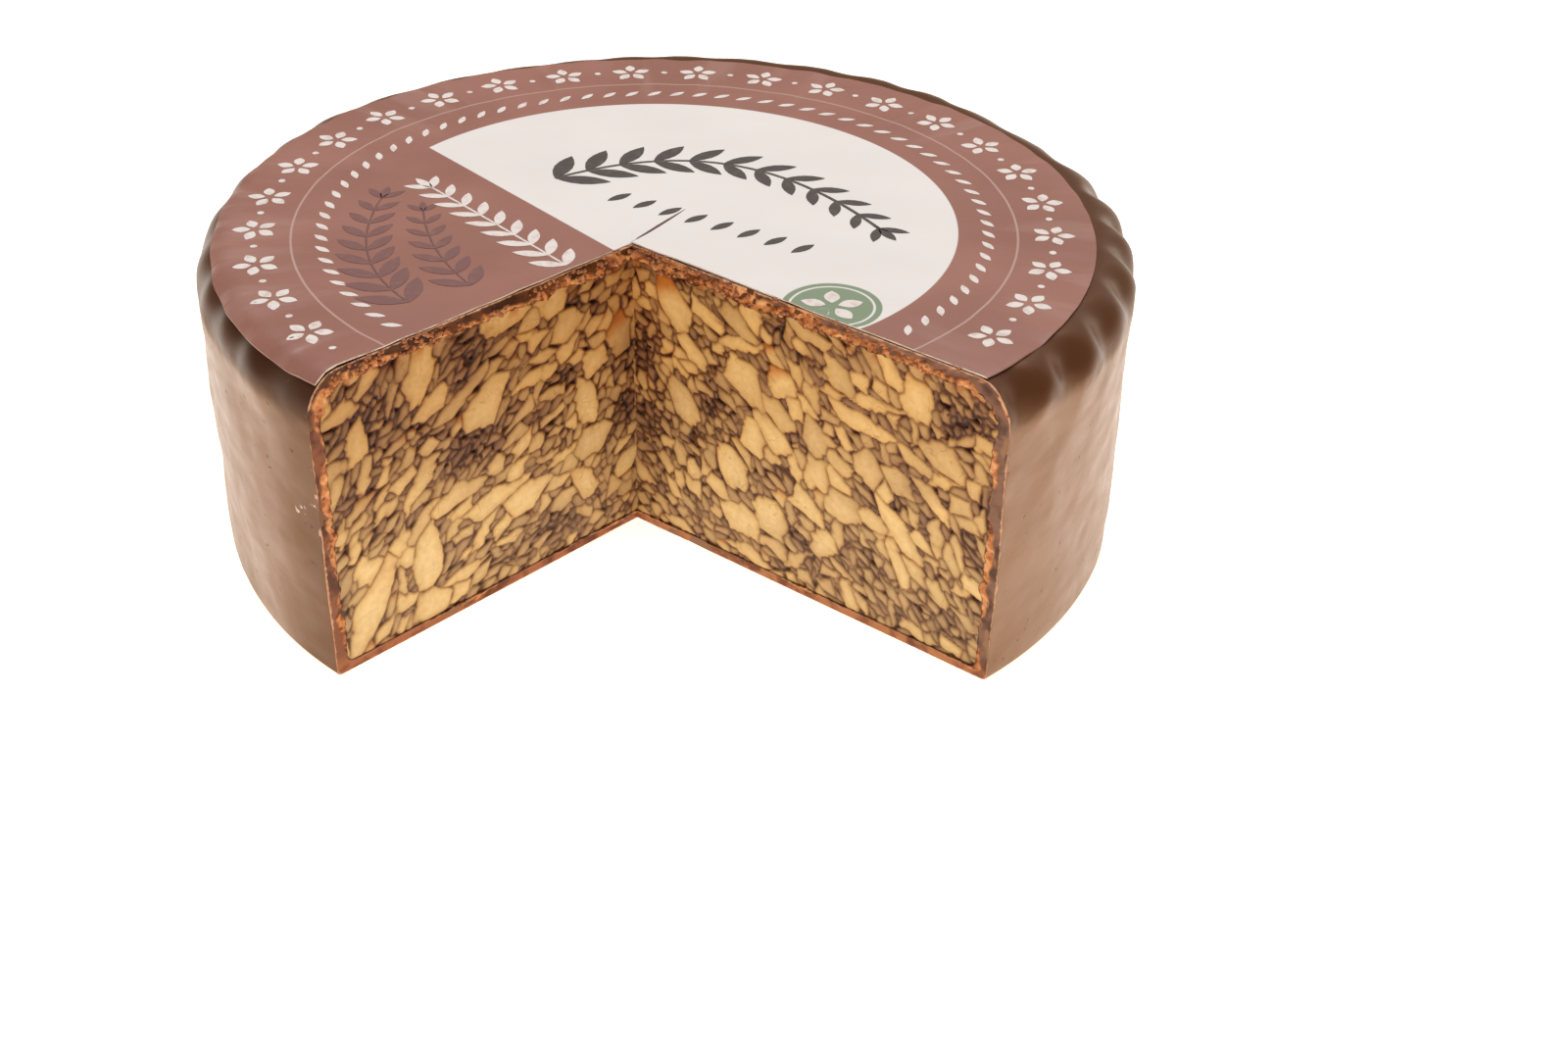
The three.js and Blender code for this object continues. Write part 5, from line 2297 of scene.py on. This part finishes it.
@dataclass(frozen=True)
class Studio:
    """The floor, the soft light and the camera."""

    eye: Triple = (26.14, -405.65, 255.72)
    pitch_deg: float = 33.3
    roll_deg: float = 1.63
    lens: float = 47.25
    sensor: float = 36.0
    floor_size: float = 12000.0
    softbox_eye: Triple = (-20.0, 250.0, 1300.0)
    softbox_size: float = 1200.0
    softbox_watts: float = 17.6
    world_low: float = 0.06
    world_high: float = 0.12
    backdrop_tint: Tint = Tint(255, 238, 214)
    ceiling_tint: Tint = Tint(255, 255, 255)
    backdrop: float = 1.1
    backdrop_top: float = 0.2
    front_share: float = 0.15
    left_share: float = 0.2
    window: Triple = (0.65, 0.65, 0.4)
    window_edge: float = 0.75
    window_glow: float = 0.4

    def camera(self) -> None:
        """Puts the camera where the photograph was taken from."""
        data = bpy.data.cameras.new("camera")
        data.lens, data.sensor_width, data.sensor_fit = self.lens, self.sensor, "HORIZONTAL"
        data.clip_start, data.clip_end = 0.01, 100
        camera = link("camera", data)
        level = Matrix.Rotation(math.radians(90 - self.pitch_deg), 4, "X")
        roll = Matrix.Rotation(math.radians(self.roll_deg), 4, "Z")
        camera.matrix_world = Matrix.Translation(PLACE.metres(self.eye).tolist()) @ level @ roll
        bpy.context.scene.camera = camera

    def floor(self) -> None:
        """Lays the floor that the wheel stands on."""
        half = self.floor_size / 2
        corners = np.array([(-half, -half, 0), (half, -half, 0), (half, half, 0), (-half, half, 0)])
        floor = Draft(corners, [(0, 1, 2, 3)]).build("floor", closed=False)
        dress(floor, PaleFloor())

    def softbox(self) -> None:
        """Hangs a square softbox overhead, turned to the wheel."""
        data = bpy.data.lights.new("overhead", "AREA")
        data.size, data.energy = self.softbox_size * MM, self.softbox_watts
        place = Vector(PLACE.metres(self.softbox_eye).tolist())
        toward = Vector(PLACE.metres((0, 0, WHEEL.height / 2)).tolist()) - place
        turned = toward.to_track_quat("-Z", "Y").to_matrix().to_4x4()
        link("overhead", data).matrix_world = Matrix.Translation(place) @ turned

    def world(self) -> None:
        """Lights everything softly from above, with a bright backdrop round the back and sides."""
        world = bpy.data.worlds.new("soft_studio")
        world.use_nodes = True
        world.node_tree.nodes.clear()
        draft = NodeDraft(world.node_tree)
        way = draft.out("ShaderNodeTexCoord", output="Generated")
        right, back, up = way.xyz()
        ceiling = up.climb(0.0, 0.8, self.world_low, self.world_high)
        behind = back.climb(-0.4, 0.2, self.front_share, 1.0)
        behind = behind * right.climb(-0.8, 0.4, self.left_share, 1.0)
        low = up.climb(0.04, self.backdrop_top, self.backdrop, 0.0)
        window = way.do("DOT_PRODUCT", tuple(Vector(self.window).normalized()))
        glow = window.climb(self.window_edge, 1.0, 0.0, self.window_glow)
        colour = up.climb(0.0, 0.5).blend(self.backdrop_tint, self.ceiling_tint)
        inputs = {"Color": colour, "Strength": low * behind + ceiling + glow}
        draft.add("ShaderNodeOutputWorld", {"Surface": draft.out("ShaderNodeBackground", inputs)})
        bpy.context.scene.world = world

    def build(self) -> None:
        """Sets up the camera, the floor and every light."""
        self.camera()
        self.floor()
        self.world()
        self.softbox()
        bpy.context.scene.view_settings.view_transform = "Standard"


def print_label(film: Piece) -> None:
    """Prints a plain garden pattern on the label's film.

    Args:
        film: The finished label.
    """
    garden = (
        Ring("print_rosettes", film, CREAM_INK, motif=Motif.ROSETTE, size=9.6),
        Ring("print_ring_dots", film, CREAM_INK, size=1.5, offset=0.5),
        Ring(
            "print_ring_leaves", film, CREAM_INK, motif=Motif.LEAF, radius=70.4, count=62, size=4.4,
            lean_deg=-52, margin=3.0,
        ),
        Sprig(
            "print_garland", film, UMBER_INK, start=(-24.0, 19.0), bend=(16.0, 50.0), end=(47.0, -2.0),
            pairs=12, leaf=12.5, stem=0.9,
        ),
        Row(
            "print_leaf_row", film, UMBER_INK, motif=Motif.LEAF, start=(-9.0, 10.0), end=(31.0, -13.0),
            count=8, size=6.4, lean_deg=-20,
        ),
        Sprig(
            "print_cream_sprig", film, CREAM_INK, start=(-17.0, -24.0), bend=(-33.0, -6.0),
            end=(-50.0, 12.0), pairs=9, stem=0.6, taper=0.2,
        ),
        Sprig(
            "print_rose_sprig_low", film, ROSE_INK, start=(-46.0, -42.0), bend=(-63.0, -24.0),
            end=(-60.0, 6.0), pairs=9, leaf=11.0,
        ),
        Row(
            "print_badge_rosette", film, CREAM_INK, motif=Motif.ROSETTE, start=(37.0, -38.5),
            end=(38.0, -38.5), count=1, size=13.0,
        ),
        Nick("label_nick", film, DARK_NICK),
        Sprig(
            "print_rose_sprig_high", film, ROSE_INK, start=(-35.0, -34.0), bend=(-46.0, -20.0),
            end=(-50.0, 0.0), pairs=7, leaf=9.0,
        ),
    )
    for motifs in garden:
        motifs.build()


def main() -> None:
    """Builds the wheel piece by piece."""
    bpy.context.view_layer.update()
    Studio().build()
    WaxCoat().build()
    CheeseBody().build()
    CheeseFace(Cut.LEFT, LEFT_CURDS, LEFT_CRUMBLE, CUT_CHEESE, seed=7).build()
    CheeseFace(Cut.RIGHT, RIGHT_CURDS, RIGHT_CRUMBLE, LIT_CUT_CHEESE, seed=23).build()
    edges = (
        WaxEdge(Cut.LEFT, CUT_WAX, torn_top=0.56, torn_wall=0.16, torn_until=100.0),
        WaxEdge(Cut.RIGHT, GREY_CUT_WAX, torn_top=0.86, torn_wall=0.05, torn_until=88.0),
    )
    for edge in edges:
        strip = edge.build()
        facing = tuple(float(share) for share in edge.cut.outward)
        Crumbs(f"wax_crumbs_{edge.cut.name.lower()}", facing).build(strip, WAX_CRUMB)
    print_label(Label().build())


if __name__ == "__main__":
    logging.basicConfig(level=logging.INFO, format="%(name)s: %(message)s")
    main()
